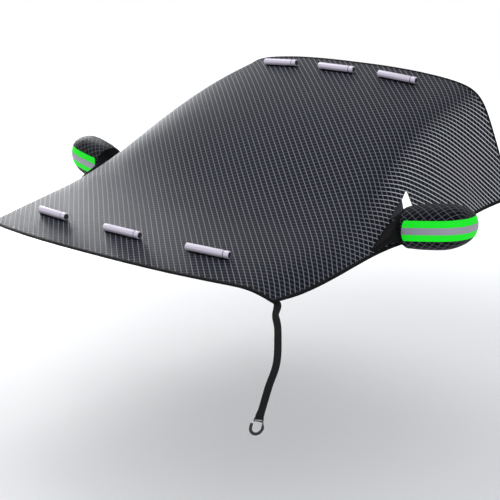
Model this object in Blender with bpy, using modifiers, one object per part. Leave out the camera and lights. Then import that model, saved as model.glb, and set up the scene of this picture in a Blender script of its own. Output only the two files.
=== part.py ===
"""Windshield cover: one quilted sheet shaped over a front apron, a raked screen and
a roof strip, with side flaps, edge binding, two mirror covers joined on by gussets,
six rod magnets on pads, and two tie straps that end in hooks.

Metres, +Z up. X runs across the cover, Y runs from the front hem to the roof hem.
The origin is the middle of the screen's foot, on the underside of the cloth.
"across" is the distance along the cloth from the middle line, and "along" is the
distance from the front hem, measured down the middle line.
"""

import math

import bmesh
import bpy
import numpy as np
from mathutils import Matrix, Vector

SEAT_GAP = 0.0003

# The sheet
CLOTH_THICKNESS = 0.004
HEM_WIDTH = 0.014
CROWN_COLUMNS, BEND_COLUMNS, FLAP_COLUMNS = 5, 5, 4
SHEET_ROWS = 25
BEND_SPREAD = 1.6

# Each row of the drape, from the front hem to the roof hem: the middle point (y, z),
# the shoulder point and the hem point (x, y, z), how gently the shoulder bends, and
# the power of the crown, which is 2 for an even arc and more for a flatter middle.
FRONT_ROW = ((-0.585, -0.081), (0.745, -0.480, -0.100), (0.820, -0.435, -0.153), 0.026, 2.6)
APRON_ROW = ((-0.300, -0.036), (0.762, -0.190, -0.055), (0.858, -0.170, -0.135), 0.033, 2.6)
FOOT_ROW = ((0.000, 0.000), (0.770, 0.100, 0.002), (0.870, 0.140, -0.094), 0.045, 2.4)
SCREEN_ROW = ((0.440, 0.207), (0.715, 0.500, 0.187), (0.876, 0.600, -0.097), 0.050, 2.2)
HEADER_ROW = ((0.860, 0.387), (0.675, 0.900, 0.342), (0.876, 0.950, -0.074), 0.050, 2.4)
ROOF_ROW = ((1.200, 0.463), (0.680, 1.235, 0.404), (0.876, 1.221, -0.066), 0.045, 2.6)
DRAPE_ROWS = (FRONT_ROW, APRON_ROW, FOOT_ROW, SCREEN_ROW, HEADER_ROW, ROOF_ROW)

# Edge binding, a tape folded round the edge
BINDING_GAP = 0.0006
BINDING_WIDTH = 0.012
BINDING_TAPE = 0.0012
BINDING_ROUND = 0.0015

# Mirror covers: half sizes and centre of the rounded box, longer towards the mouth and
# swept back and raised towards its end, and the powers that square its plan and height
BAG_HALF_LENGTH, BAG_HALF_DEPTH, BAG_HALF_HEIGHT = 0.142, 0.091, 0.095
BAG_INNER_LENGTH = 0.235
BAG_CENTRE = (1.000, 0.420, -0.009)
BAG_SWEEP, BAG_RISE = 0.20, 0.12
BAG_PLAN_POWER, BAG_HEIGHT_POWER = 0.75, 0.82
BAG_WALL = 0.0025
BAG_SEGMENTS, BAG_RINGS = 28, 12
MOUTH_INSET = 0.122
MOUTH_TILT = math.radians(9)
ELASTIC_RADIUS = 0.0025
ELASTIC_POINTS = 28

# Reflective tape round each mirror cover
TAPE_STANDOFF = 0.0009
GREEN_TAPE, GREY_TAPE = 0.0010, 0.0008
GREEN_HALF_HEIGHT, GREY_HALF_HEIGHT = 0.0425, 0.0145
TAPE_HALF_SWEEP = math.radians(112)
TAPE_STEPS, TAPE_ROW_HEIGHT = 34, 0.0170

# The slit for the mirror arm, the facing beside it and the foot of the gusset, as
# places (across, along) on the cloth. The foot also gives the place round the mouth, in
# degrees from its rear, that each point of the foot is sewn up to.
SLIT_CORNERS = ((0.827, 1.062), (0.843, 0.985), (0.935, 0.905), (0.893, 1.030))
FACING_CORNERS = ((0.838, 0.984), (0.881, 0.943), (0.874, 0.866), (0.856, 0.832))
FACING_THICKNESS = 0.0015
GUSSET_FOOT = (
    (0.893, 0.938, 90), (0.888, 0.870, 116), (0.872, 0.816, 140), (0.880, 0.715, 163),
    (0.901, 0.612, 186), (0.918, 0.665, 209), (0.934, 0.760, 232), (0.948, 0.850, 256),
    (0.962, 0.930, 290), (0.956, 0.990, 340), (0.925, 0.985, 400),
)
GUSSET_WALL = 0.0015
GUSSET_POINTS = 40
GUSSET_SWELL = 0.1

# Magnets and their pads
MAGNET_LENGTH, MAGNET_RADIUS = 0.200, 0.0155
MAGNET_CHAMFER = 0.002
MAGNET_GROOVE_AT, MAGNET_GROOVE_WIDTH, MAGNET_GROOVE_DEPTH = 0.026, 0.003, 0.0012
MAGNET_SIDES = 16
PAD_LENGTH, PAD_HALF_WIDTH, PAD_FLOOR = 0.190, 0.013, 0.0015
PAD_WRAP = math.radians(50)
FRONT_MAGNET_ALONG, FRONT_MAGNET_SPACING = 0.190, 0.447
ROOF_MAGNET_ALONG, ROOF_MAGNET_SPACING = 1.742, 0.340

# Tie straps: the route of the right-hand one of the photograph below the hem
STRAP_WIDTH, STRAP_THICKNESS = 0.033, 0.002
STRAP_ALONG, STRAP_TUCK = 0.024, 0.045
STRAP_DEPTH = 0.0038
STRAP_FACING = math.radians(67)
STRAP_ROUTE = (
    (0.842, -0.446, -0.184), (0.865, -0.466, -0.215), (0.888, -0.490, -0.255),
    (0.907, -0.515, -0.308), (0.916, -0.538, -0.355), (0.912, -0.566, -0.410),
    (0.904, -0.584, -0.469), (0.897, -0.598, -0.520), (0.894, -0.604, -0.544),
)
STRAP_STEPS = 40
STRAP_RETURN = 0.030

# Hooks: a flat hook with a slot for the strap, drawn in its own plane
HOOK_THICKNESS = 0.004
HOOK_BAR, HOOK_SLOT = 0.005, 0.006
HOOK_RIM = 0.004
HOOK_SHANK, HOOK_REACH, HOOK_DROP, HOOK_TIP = 0.012, 0.032, 0.036, 0.016
HOOK_ARC_STEPS = 10
HOOK_BEVEL = 0.0008


def natural_spline(places, knots, values):
    """Values at places on the smooth curve that passes through values at the knots and
    is straight at both ends: one cubic for each stretch, with equal slope and bend
    where two of them meet."""
    knots = np.asarray(knots, float)
    values = np.asarray(values, float).reshape(len(knots), -1)
    step = np.diff(knots)
    matrix = np.eye(len(knots))
    right = np.zeros_like(values)
    for i in range(1, len(knots) - 1):
        matrix[i, i - 1 : i + 2] = step[i - 1], 2 * (step[i - 1] + step[i]), step[i]
        slope_after = (values[i + 1] - values[i]) / step[i]
        slope_before = (values[i] - values[i - 1]) / step[i - 1]
        right[i] = 6 * (slope_after - slope_before)
    bends = np.linalg.solve(matrix, right)
    places = np.asarray(places, float)
    k = np.clip(np.searchsorted(knots, places, side="right") - 1, 0, len(knots) - 2)
    before = ((knots[k + 1] - places) / step[k])[..., None]
    after = 1 - before
    width = (step[k] ** 2)[..., None] / 6
    curve = (before**3 - before) * bends[k] + (after**3 - after) * bends[k + 1]
    return before * values[k] + after * values[k + 1] + curve * width


def drape_table():
    """The distance along of each drape row, and its values in one line of an array:
    middle y and z, shoulder x, y, z, hem x, y, z, bend, crown power."""
    middle = np.array([row[0] for row in DRAPE_ROWS])
    runs = np.linalg.norm(np.diff(middle, axis=0), axis=1)
    knots = np.concatenate([[0.0], np.cumsum(runs)])
    lines = [(*row[0], *row[1], *row[2], row[3], row[4]) for row in DRAPE_ROWS]
    return knots, np.array(lines)


DRAPE_KNOTS, DRAPE_VALUES = drape_table()
COVER_LENGTH = DRAPE_KNOTS[-1]


def drape_at(along):
    """Middle, shoulder and hem points, bend length and crown power at distances along."""
    found = natural_spline(along, DRAPE_KNOTS, DRAPE_VALUES)
    middle = np.concatenate([np.zeros_like(found[..., :1]), found[..., 0:2]], axis=-1)
    return middle, found[..., 2:5], found[..., 5:8], found[..., 8], found[..., 9]


def crown_and_flap(along):
    """Length of cloth from the middle to the shoulder, and from there to the hem."""
    middle, shoulder, hem, _, _ = drape_at(along)
    crown = np.linalg.norm(shoulder - middle, axis=-1)
    flap = np.linalg.norm(hem - shoulder, axis=-1)
    return crown, flap


def cover_point(across, along):
    """The underside of the cloth at signed distances across and along it. The run from
    the middle to the shoulder and the run down the flap are blended by a softplus over
    the bend length, so the shoulder is a round bend and not a crease."""
    across, along = np.broadcast_arrays(np.asarray(across, float), np.asarray(along, float))
    middle, shoulder, hem, bend, power = drape_at(along)
    crown, flap = crown_and_flap(along)
    past = bend * np.logaddexp(0.0, (np.abs(across) - crown) / bend)
    whole = bend * np.logaddexp(0.0, flap / bend)
    up_to = (np.abs(across) - past) / crown
    down = (past / whole)[..., None] * (hem - shoulder)
    rise = np.clip(up_to, 0.0, None)[..., None] ** power[..., None]
    point = middle + (shoulder - middle) * rise + down
    point[..., 0] = np.sign(across) * (shoulder[..., 0] * up_to + down[..., 0])
    return point


def unit(vectors):
    return vectors / np.linalg.norm(vectors, axis=-1, keepdims=True)


def cover_frame(across, along, step=0.001):
    """Point, outward normal, and the directions across and along the cloth."""
    side = unit(cover_point(across + step, along) - cover_point(across - step, along))
    back = unit(cover_point(across, along + step) - cover_point(across, along - step))
    return cover_point(across, along), unit(np.cross(side, back)), side, back


def half_width(along):
    return sum(crown_and_flap(along))


def column_distances(along):
    """Signed distances across of the sheet's columns at one distance along: even over
    the crown, close together round the shoulder, even down the flap, and the hem."""
    crown, flap = (float(length) for length in crown_and_flap(along))
    bend = BEND_SPREAD * float(drape_at(along)[3])
    stops = (
        (0.0, crown - bend, CROWN_COLUMNS),
        (crown - bend, crown + bend, BEND_COLUMNS),
        (crown + bend, crown + flap - HEM_WIDTH, FLAP_COLUMNS),
    )
    runs = [np.linspace(a, b, count, endpoint=False) for a, b, count in stops]
    side = np.concatenate([*runs, [crown + flap - HEM_WIDTH, crown + flap]])
    return np.concatenate([-side[:0:-1], side])


def sheet_places():
    """The (across, along) of every vertex of the sheet, row by row."""
    inner = np.linspace(HEM_WIDTH, COVER_LENGTH - HEM_WIDTH, SHEET_ROWS)
    rows = np.concatenate([[0.0], inner, [COVER_LENGTH]])
    across = np.array([column_distances(along) for along in rows])
    along = np.repeat(rows[:, None], across.shape[1], axis=1)
    return across, along


def material(name, colour, roughness, metallic=0.0):
    made = bpy.data.materials.new(name)
    made.use_nodes = True
    shader = made.node_tree.nodes["Principled BSDF"]
    shader.inputs["Base Color"].default_value = (*colour, 1.0)
    shader.inputs["Roughness"].default_value = roughness
    shader.inputs["Metallic"].default_value = metallic
    return made


def new_object(name, data, collection, finish=None):
    made = bpy.data.objects.new(name, data)
    collection.objects.link(made)
    if finish is not None:
        data.materials.append(finish)
    return made


def grid_mesh(name, points, wrap_rows=False, wrap_columns=False):
    """A mesh of quads through a grid of points (rows, columns, 3)."""
    rows, columns = points.shape[:2]
    index = np.arange(rows * columns).reshape(rows, columns)
    if wrap_rows:
        index = np.concatenate([index, index[:1]])
    if wrap_columns:
        index = np.concatenate([index, index[:, :1]], axis=1)
    quads = np.stack([index[:-1, :-1], index[:-1, 1:], index[1:, 1:], index[1:, :-1]], -1)
    mesh = bpy.data.meshes.new(name)
    mesh.from_pydata(points.reshape(-1, 3).tolist(), [], quads.reshape(-1, 4).tolist())
    mesh.shade_smooth()
    return mesh


def face_outwards(shape):
    """Turns the faces of a closed bmesh outwards: alike first, then by its volume."""
    bmesh.ops.recalc_face_normals(shape, faces=shape.faces)
    if shape.calc_volume(signed=True) < 0:
        bmesh.ops.reverse_faces(shape, faces=shape.faces)


def mesh_of(name, shape, smooth=False):
    mesh = bpy.data.meshes.new(name)
    shape.to_mesh(mesh)
    shape.free()
    if smooth:
        mesh.shade_smooth()
    return mesh


def solidify(made, thickness, offset):
    wall = made.modifiers.new("Wall", "SOLIDIFY")
    wall.thickness = thickness
    wall.offset = offset


def mirrored(points, side):
    """Points of the +X side, or of the other side when side is -1."""
    return np.asarray(points, float) * np.array([side, 1.0, 1.0])


def make_sheet(collection, cutters, finish):
    """The quilted sheet, with a slit through each flap for a mirror arm."""
    across, along = sheet_places()
    sheet = new_object(
        "cover_sheet", grid_mesh("cover_sheet", cover_point(across, along)), collection, finish
    )
    solidify(sheet, CLOTH_THICKNESS, 1.0)
    for side in (1, -1):
        cut = sheet.modifiers.new("Slit", "BOOLEAN")
        cut.operation = "DIFFERENCE"
        cut.solver = "EXACT"
        cut.object = slit_cutter(side, cutters)
    return sheet


def slit_cutter(side, cutters):
    """A prism through the flap whose outline is the slit."""
    places = np.array(SLIT_CORNERS)
    middle = places.mean(axis=0)
    _, normal, _, _ = cover_frame(*middle)
    outline = cover_point(places[:, 0], places[:, 1])
    depth = 5 * CLOTH_THICKNESS
    corners = np.concatenate([outline - normal * depth, outline + normal * depth])
    shape = bmesh.new()
    points = [shape.verts.new(point) for point in mirrored(corners, side)]
    count = len(places)
    shape.faces.new(points[:count])
    shape.faces.new(points[count:])
    for i in range(count):
        j = (i + 1) % count
        shape.faces.new((points[i], points[j], points[count + j], points[count + i]))
    face_outwards(shape)
    cutter = new_object("slit_cutter", mesh_of("slit_cutter", shape), cutters)
    cutter.hide_render = True
    cutter.display_type = "WIRE"
    return cutter


def border(grid):
    """The border of a grid of values, once round, and the cells just inside it."""
    last = grid[:-1, -1], grid[:-1, -2]
    first = grid[:0:-1, 0], grid[:0:-1, 1]
    edge = np.concatenate([grid[0, :-1], last[0], grid[-1, :0:-1], first[0]])
    inside = np.concatenate([grid[1, :-1], last[1], grid[-2, :0:-1], first[1]])
    turns = np.cumsum([0, grid.shape[1] - 1, grid.shape[0] - 1, grid.shape[1] - 1])
    inside[turns] = grid[1, 1], grid[1, -2], grid[-2, -2], grid[-2, 1]
    return edge, inside


def make_binding(collection, finish):
    """Tape folded round the whole edge: one section of a folded tape carried round the
    border of the sheet. Inwards is measured in hem widths, so corners are mitred."""
    across, along = sheet_places()
    point, normal, _, _ = cover_frame(across, along)
    edge, inside = border(point)
    upward, _ = border(normal)
    gap, tape, cloth = BINDING_GAP, BINDING_TAPE, CLOTH_THICKNESS
    section = (
        (BINDING_WIDTH, cloth + gap + tape),
        (-gap - tape, cloth + gap + tape),
        (-gap - tape - BINDING_ROUND, cloth / 2),
        (-gap - tape, -gap - tape),
        (BINDING_WIDTH, -gap - tape),
        (BINDING_WIDTH, -gap),
        (-gap, -gap),
        (-gap, cloth + gap),
        (BINDING_WIDTH, cloth + gap),
    )
    rings = [edge + (inside - edge) * (a / HEM_WIDTH) + upward * b for a, b in section]
    mesh = grid_mesh("edge_binding", np.stack(rings, axis=1), True, True)
    shape = bmesh.new()
    shape.from_mesh(mesh)
    face_outwards(shape)
    return new_object("edge_binding", mesh_of("edge_binding", shape), collection, finish)


def bag_surface(plan, height, standoff=0.0):
    """Rounded box: cosine and sine of the plan angle raised to the plan power, and of
    the height angle raised to the height power, times the half sizes. Moved outwards
    by standoff along the normal."""
    plan, height = np.broadcast_arrays(plan, height)

    def powered(value, power):
        return np.sign(value) * np.abs(value) ** power

    cos_plan, sin_plan = np.cos(plan), np.sin(plan)
    cos_up, sin_up = np.cos(height), np.sin(height)
    waist = powered(cos_up, BAG_HEIGHT_POWER)
    belly = powered(cos_up, 2 - BAG_HEIGHT_POWER)
    length = np.where(cos_plan < 0, BAG_INNER_LENGTH, BAG_HALF_LENGTH)
    x = powered(cos_plan, BAG_PLAN_POWER) * waist * length
    y = powered(sin_plan, BAG_PLAN_POWER) * waist * BAG_HALF_DEPTH + BAG_SWEEP * x
    z = powered(sin_up, BAG_HEIGHT_POWER) * BAG_HALF_HEIGHT + BAG_RISE * x
    out_y = powered(sin_plan, 2 - BAG_PLAN_POWER) * belly / BAG_HALF_DEPTH
    out_z = powered(sin_up, 2 - BAG_HEIGHT_POWER) / BAG_HALF_HEIGHT
    out_x = powered(cos_plan, 2 - BAG_PLAN_POWER) * belly / length
    out_x = out_x - BAG_SWEEP * out_y - BAG_RISE * out_z
    outward = unit(np.stack(np.broadcast_arrays(out_x, out_y, out_z), axis=-1))
    surface = np.stack(np.broadcast_arrays(x, y, z), axis=-1)
    return surface + outward * standoff + np.array(BAG_CENTRE)


def bag_fill(points):
    """Below 1 inside the rounded box, 1 on its surface."""
    x, y, z = np.moveaxis(points - np.array(BAG_CENTRE), -1, 0)
    length = np.where(x < 0, BAG_INNER_LENGTH, BAG_HALF_LENGTH)
    share_x, share_y = np.abs(x / length), np.abs((y - BAG_SWEEP * x) / BAG_HALF_DEPTH)
    plan = share_x ** (2 / BAG_PLAN_POWER) + share_y ** (2 / BAG_PLAN_POWER)
    up = np.abs((z - BAG_RISE * x) / BAG_HALF_HEIGHT) ** (2 / BAG_HEIGHT_POWER)
    return plan ** (BAG_PLAN_POWER / BAG_HEIGHT_POWER) + up


def mouth_plane():
    """Middle and outward normal of the plane where each mirror cover is joined on."""
    normal = np.array([math.cos(MOUTH_TILT), 0.0, math.sin(MOUTH_TILT)])
    inwards = MOUTH_INSET * np.array([1.0, BAG_SWEEP, BAG_RISE])
    return np.array(BAG_CENTRE) - inwards, normal


def mouth_loop(angles, shift, inset):
    """Points round the mouth, where rays in a plane parallel to the mouth plane, moved
    outwards by shift, meet the rounded box, drawn in by inset."""
    middle, normal = mouth_plane()
    middle = middle + normal * shift
    rear = np.array([0.0, 1.0, 0.0])
    ray = np.outer(np.cos(angles), rear) + np.outer(np.sin(angles), np.cross(normal, rear))
    low, high = np.zeros(len(angles)), np.full(len(angles), BAG_HALF_LENGTH)
    for _ in range(40):
        reach = (low + high) / 2
        inside = bag_fill(middle + ray * reach[:, None]) < 1
        low, high = np.where(inside, reach, low), np.where(inside, high, reach)
    return middle + ray * (low - inset)[:, None]


def make_bag(name, side, collection, finish):
    """Mirror cover: a ball shaped to the rounded box, cut open at the mouth plane."""
    shape = bmesh.new()
    bmesh.ops.create_uvsphere(
        shape, u_segments=BAG_SEGMENTS, v_segments=BAG_RINGS, radius=1.0
    )
    for vertex in shape.verts:
        plan = math.atan2(vertex.co.y, vertex.co.x)
        height = math.asin(max(-1.0, min(1.0, vertex.co.z)))
        vertex.co = bag_surface(plan, height)
    middle, normal = mouth_plane()
    rim = middle + normal * (ELASTIC_RADIUS + 2 * SEAT_GAP)
    everything = [*shape.verts, *shape.edges, *shape.faces]
    bmesh.ops.bisect_plane(
        shape, geom=everything, dist=1e-6, plane_co=rim, plane_no=normal, clear_inner=True
    )
    bmesh.ops.recalc_face_normals(shape, faces=shape.faces)
    for vertex in shape.verts:
        vertex.co.x *= side
    if side < 0:
        bmesh.ops.reverse_faces(shape, faces=shape.faces)
    bag = new_object(name, mesh_of(name, shape, True), collection, finish)
    solidify(bag, BAG_WALL, -1.0)
    return bag


def make_tape(name, side, half_height, standoff, thickness, collection, finish):
    """A strip of tape round the front, the end and the back of a mirror cover, level
    with its middle."""
    plan = np.linspace(-TAPE_HALF_SWEEP, TAPE_HALF_SWEEP, TAPE_STEPS + 1)
    rows = 1 + round(2 * half_height / TAPE_ROW_HEIGHT)
    level = np.linspace(-half_height, half_height, rows) / BAG_HALF_HEIGHT
    height = np.arcsin(np.sign(level) * np.abs(level) ** (1 / BAG_HEIGHT_POWER))
    points = bag_surface(plan[None, :], height[:, None], standoff)
    mesh = grid_mesh(name, mirrored(points, side))
    if side < 0:
        mesh.flip_normals()
    tape = new_object(name, mesh, collection, finish)
    solidify(tape, thickness, 1.0)
    return tape


def make_elastic(name, side, collection, finish):
    """The elastic that draws in the mouth, between the mirror cover and its gusset."""
    angles = np.linspace(0, 2 * math.pi, ELASTIC_POINTS, endpoint=False)
    loop = mirrored(mouth_loop(angles, 0.0, BAG_WALL / 2), side)
    curve = bpy.data.curves.new(name, "CURVE")
    curve.dimensions = "3D"
    curve.bevel_depth = ELASTIC_RADIUS
    curve.bevel_resolution = 1
    spline = curve.splines.new("POLY")
    spline.points.add(len(loop) - 1)
    for point, place in zip(spline.points, loop):
        point.co = (*place, 1.0)
    spline.use_cyclic_u = True
    return new_object(name, curve, collection, finish)


def gusset_foot():
    """Places across and along, and angles round the mouth, evenly spread round the
    smooth closed curve through the foot's corners, taken from the second of four laps."""
    corners = np.array(GUSSET_FOOT, float)
    laps = [corners + (0, 0, 360 * lap) for lap in range(4)]
    knots = np.arange(4 * len(corners)) / len(corners)
    places = 1 + np.arange(GUSSET_POINTS) / GUSSET_POINTS
    across, along, turn = natural_spline(places, knots, np.concatenate(laps)).T
    return across, along, np.radians(turn)


def make_gusset(name, side, collection, finish):
    """Sleeve of plain cloth from its foot on the flap, round the slit, to the elastic."""
    across, along, turn = gusset_foot()
    foot, normal, _, _ = cover_frame(across, along)
    foot = foot + normal * (CLOTH_THICKNESS + 2 * SEAT_GAP + GUSSET_WALL / 2)
    neck = mouth_loop(turn, -ELASTIC_RADIUS - 2 * SEAT_GAP - GUSSET_WALL / 2, BAG_WALL / 2)
    rise = neck - foot
    swell = normal * GUSSET_SWELL * np.linalg.norm(rise, axis=1)[:, None]
    points = np.stack([foot, foot + rise / 3 + swell, foot + 2 * rise / 3 + swell, neck])
    mesh = grid_mesh(name, mirrored(points, side), wrap_columns=True)
    gusset = new_object(name, mesh, collection, finish)
    solidify(gusset, GUSSET_WALL, 0.0)
    return gusset


def make_facing(name, side, collection, finish):
    """The folded facing beside the slit: a patch between four places on the cloth."""
    top, right, foot_right, foot_left = (np.array(corner) for corner in FACING_CORNERS)
    down = np.linspace(0, 1, 6)[:, None, None]
    over = np.linspace(0, 1, 4)[None, :, None]
    left_edge = top + (foot_left - top) * down
    right_edge = top + 0.004 + (right - top) * np.minimum(1, 2 * down)
    right_edge = right_edge + (foot_right - right) * np.maximum(0, 2 * down - 1)
    places = left_edge + (right_edge - left_edge) * over
    point, normal, _, _ = cover_frame(places[..., 0], places[..., 1])
    points = point + normal * (CLOTH_THICKNESS + 2 * SEAT_GAP)
    mesh = grid_mesh(name, mirrored(points, side))
    facing = new_object(name, mesh, collection, finish)
    solidify(facing, FACING_THICKNESS, -1.0 if side > 0 else 1.0)
    return facing


def place_on_cover(made, across, along, height):
    """Lays a piece's own Z axis along the cloth and its Y axis away from it."""
    point, normal, along_x, _ = cover_frame(across, along)
    sideways = np.cross(normal, along_x)
    made.location = Vector(point + normal * height)
    turn = np.column_stack([sideways, normal, along_x])
    made.rotation_mode = "QUATERNION"
    made.rotation_quaternion = Matrix(turn.tolist()).to_quaternion()


def magnet_mesh():
    """Half profile of the rod, top to bottom, with one groove near its end."""
    r, half = MAGNET_RADIUS, MAGNET_LENGTH / 2
    groove = half - MAGNET_GROOVE_AT
    inner = r - MAGNET_GROOVE_DEPTH
    profile = (
        (0, half), (r - MAGNET_CHAMFER, half), (r, half - MAGNET_CHAMFER),
        (r, groove + MAGNET_GROOVE_WIDTH), (inner, groove + MAGNET_GROOVE_WIDTH),
        (inner, groove), (r, groove), (r, MAGNET_CHAMFER - half),
        (r - MAGNET_CHAMFER, -half), (0, -half),
    )
    mesh = bpy.data.meshes.new("magnet_profile")
    edges = [(i, i + 1) for i in range(len(profile) - 1)]
    mesh.from_pydata([(x, 0, z) for x, z in profile], edges, [])
    return mesh


def make_magnet(name, across, along, collection, finish):
    """Rod magnet, its axis across the cover, one gap above its pad."""
    magnet = new_object(name, magnet_mesh(), collection, finish)
    turn = magnet.modifiers.new("Turn", "SCREW")
    turn.steps = turn.render_steps = MAGNET_SIDES
    turn.use_merge_vertices = True
    turn.merge_threshold = 0.0001
    place_on_cover(magnet, across, along, magnet_height())
    return magnet


def magnet_height():
    return CLOTH_THICKNESS + 2 * SEAT_GAP + PAD_FLOOR + MAGNET_RADIUS


def make_pad(name, across, along, collection, finish):
    """Cloth pad with a flat foot and a hollow top that the rod lies in."""
    hollow = MAGNET_RADIUS + 1.5 * SEAT_GAP
    axis = magnet_height() - CLOTH_THICKNESS - SEAT_GAP
    angles = np.linspace(PAD_WRAP, -PAD_WRAP, 9)
    arc = [(hollow * math.sin(a), axis - hollow * math.cos(a)) for a in angles]
    edge = max(PAD_HALF_WIDTH, arc[0][0] + PAD_FLOOR)
    outline = [(-edge, 0.0), (edge, 0.0), (arc[0][0], arc[0][1]), *arc[1:]]
    shape = bmesh.new()
    foot = [shape.verts.new((x, y, -PAD_LENGTH / 2)) for x, y in outline]
    face = shape.faces.new(foot)
    raised = bmesh.ops.extrude_face_region(shape, geom=[face])
    moved = [item for item in raised["geom"] if isinstance(item, bmesh.types.BMVert)]
    bmesh.ops.translate(shape, verts=moved, vec=(0, 0, PAD_LENGTH))
    face_outwards(shape)
    pad = new_object(name, mesh_of(name, shape), collection, finish)
    place_on_cover(pad, across, along, CLOTH_THICKNESS + SEAT_GAP)
    return pad


def strap_centre():
    """Centre line and facing of the strap on the +X side: under the hem, down its
    route, and through the hook's slot and back up behind itself."""
    under = float(half_width(STRAP_ALONG)) - np.array([STRAP_TUCK, STRAP_TUCK / 2, 0.002])
    tuck, normal, _, _ = cover_frame(under, STRAP_ALONG)
    tuck = tuck - normal * STRAP_DEPTH
    knots_at = np.concatenate([tuck, np.array(STRAP_ROUTE)])
    knots = np.concatenate([[0], np.cumsum(np.linalg.norm(np.diff(knots_at, axis=0), axis=1))])
    places = np.linspace(0, knots[-1], STRAP_STEPS)
    centre = natural_spline(places, knots, knots_at)
    outward = np.array([math.sin(STRAP_FACING), -math.cos(STRAP_FACING), 0.0])
    settle = np.clip((places - knots[2]) / STRAP_TUCK, 0, 1)[:, None]
    facing = unit(normal[0] * (1 - settle) + outward * settle)
    return centre, facing, outward


def hook_frame():
    """Middle of the hook's bar, and its directions: to the side, down, and outwards."""
    centre, _, outward = strap_centre()
    down = unit(centre[-1] - centre[-2])
    outward = unit(outward - down * (outward @ down))
    side = np.cross(outward, down)
    depth = HOOK_THICKNESS / 2 + SEAT_GAP + STRAP_THICKNESS / 2
    return centre[-1] - outward * depth, side, down, outward


def make_strap(name, side, collection, finish):
    centre, facing, _ = strap_centre()
    bar, across, down, outward = hook_frame()
    depth = HOOK_THICKNESS / 2 + SEAT_GAP + STRAP_THICKNESS / 2
    turn = np.linspace(0, math.pi, 9)[1:]
    low = HOOK_BAR / 2 + SEAT_GAP
    fold = [bar + outward * depth * math.cos(a) + down * (low + depth * math.sin(a) * 0.6) for a in turn]
    behind = SEAT_GAP + STRAP_THICKNESS - depth
    rise = (
        (-depth, -HOOK_BAR), (-depth + 0.001, -2 * HOOK_BAR),
        (-behind - 2 * depth + 0.004, -STRAP_RETURN),
    )
    climb = [bar + outward * a + down * b for a, b in rise[:2]]
    last = centre[-1] - down * STRAP_RETURN - outward * (STRAP_THICKNESS + 2 * SEAT_GAP)
    entry = [bar + outward * depth + down * low]
    path = np.array([*centre, *entry, *fold, *climb, last])
    ahead = unit(np.gradient(path, axis=0))
    wide = np.cross(facing, ahead[: len(centre)])
    wide = np.concatenate([unit(wide), np.repeat(-across[None, :], len(path) - len(centre), axis=0)])
    if wide[len(centre) - 1] @ wide[len(centre)] < 0:
        wide[len(centre) :] *= -1
    edge = wide * STRAP_WIDTH / 2
    points = np.stack([path - edge, path + edge])
    strap = new_object(name, grid_mesh(name, mirrored(points, side)), collection, finish)
    solidify(strap, STRAP_THICKNESS, 0.0)
    return strap


def arc(middle, radius, start, end, steps):
    return [
        (middle[0] + radius * math.cos(a), middle[1] + radius * math.sin(a))
        for a in np.linspace(start, end, steps)
    ]


def hook_outline():
    """The hook seen from outside, as (sideways, down) from the middle of its bar, with
    its shank on one side and its tip turned up on the other."""
    half = STRAP_WIDTH / 2 + HOOK_RIM + SEAT_GAP
    top, foot = -HOOK_BAR / 2, HOOK_BAR / 2 + HOOK_SLOT + HOOK_RIM
    middle = (0.0, HOOK_DROP)
    inner = HOOK_REACH - HOOK_SHANK
    outer_arc = arc(middle, HOOK_REACH, 0, math.pi, HOOK_ARC_STEPS)
    inner_arc = arc(middle, inner, math.pi, 0, HOOK_ARC_STEPS)
    tip = [(-HOOK_REACH, HOOK_DROP - HOOK_TIP), (-inner, HOOK_DROP - HOOK_TIP)]
    shoulders = [(half, foot), (half, top), (-half, top), (-half, foot)]
    return [*outer_arc, *tip, *inner_arc, (inner, foot + HOOK_RIM), (0.0, foot), shoulders[3],
            shoulders[2], shoulders[1], shoulders[0]]


def slot_outline():
    half = STRAP_WIDTH / 2 + SEAT_GAP
    top, foot = HOOK_BAR / 2, HOOK_BAR / 2 + HOOK_SLOT
    return [(-half, top), (half, top), (half, foot), (-half, foot)]


def make_hook(name, side, collection, finish):
    """Flat hook cut from plate: its outline and slot as one filled curve."""
    curve = bpy.data.curves.new(name, "CURVE")
    curve.dimensions = "2D"
    curve.fill_mode = "BOTH"
    curve.extrude = HOOK_THICKNESS / 2
    for outline in (hook_outline(), slot_outline()):
        spline = curve.splines.new("POLY")
        spline.points.add(len(outline) - 1)
        for point, place in zip(spline.points, outline):
            point.co = (*place, 0.0, 1.0)
        spline.use_cyclic_u = True
    flat = bpy.data.objects.new(name, curve)
    collection.objects.link(flat)
    bpy.context.view_layer.update()
    mesh = bpy.data.meshes.new_from_object(flat.evaluated_get(bpy.context.evaluated_depsgraph_get()))
    bpy.data.objects.remove(flat)
    shape = bmesh.new()
    shape.from_mesh(mesh)
    bmesh.ops.remove_doubles(shape, verts=shape.verts, dist=1e-6)
    bar, across, down, outward = hook_frame()
    for vertex in shape.verts:
        x, y, z = vertex.co
        vertex.co = mirrored(bar + across * x + down * y + outward * z, side)
    face_outwards(shape)
    hook = new_object(name, mesh_of(name, shape), collection, finish)
    edge = hook.modifiers.new("Edge", "BEVEL")
    edge.width = HOOK_BEVEL
    edge.segments = 1
    edge.limit_method = "ANGLE"
    return hook


def clear_scene():
    for old in list(bpy.data.objects):
        bpy.data.objects.remove(old)


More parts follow.
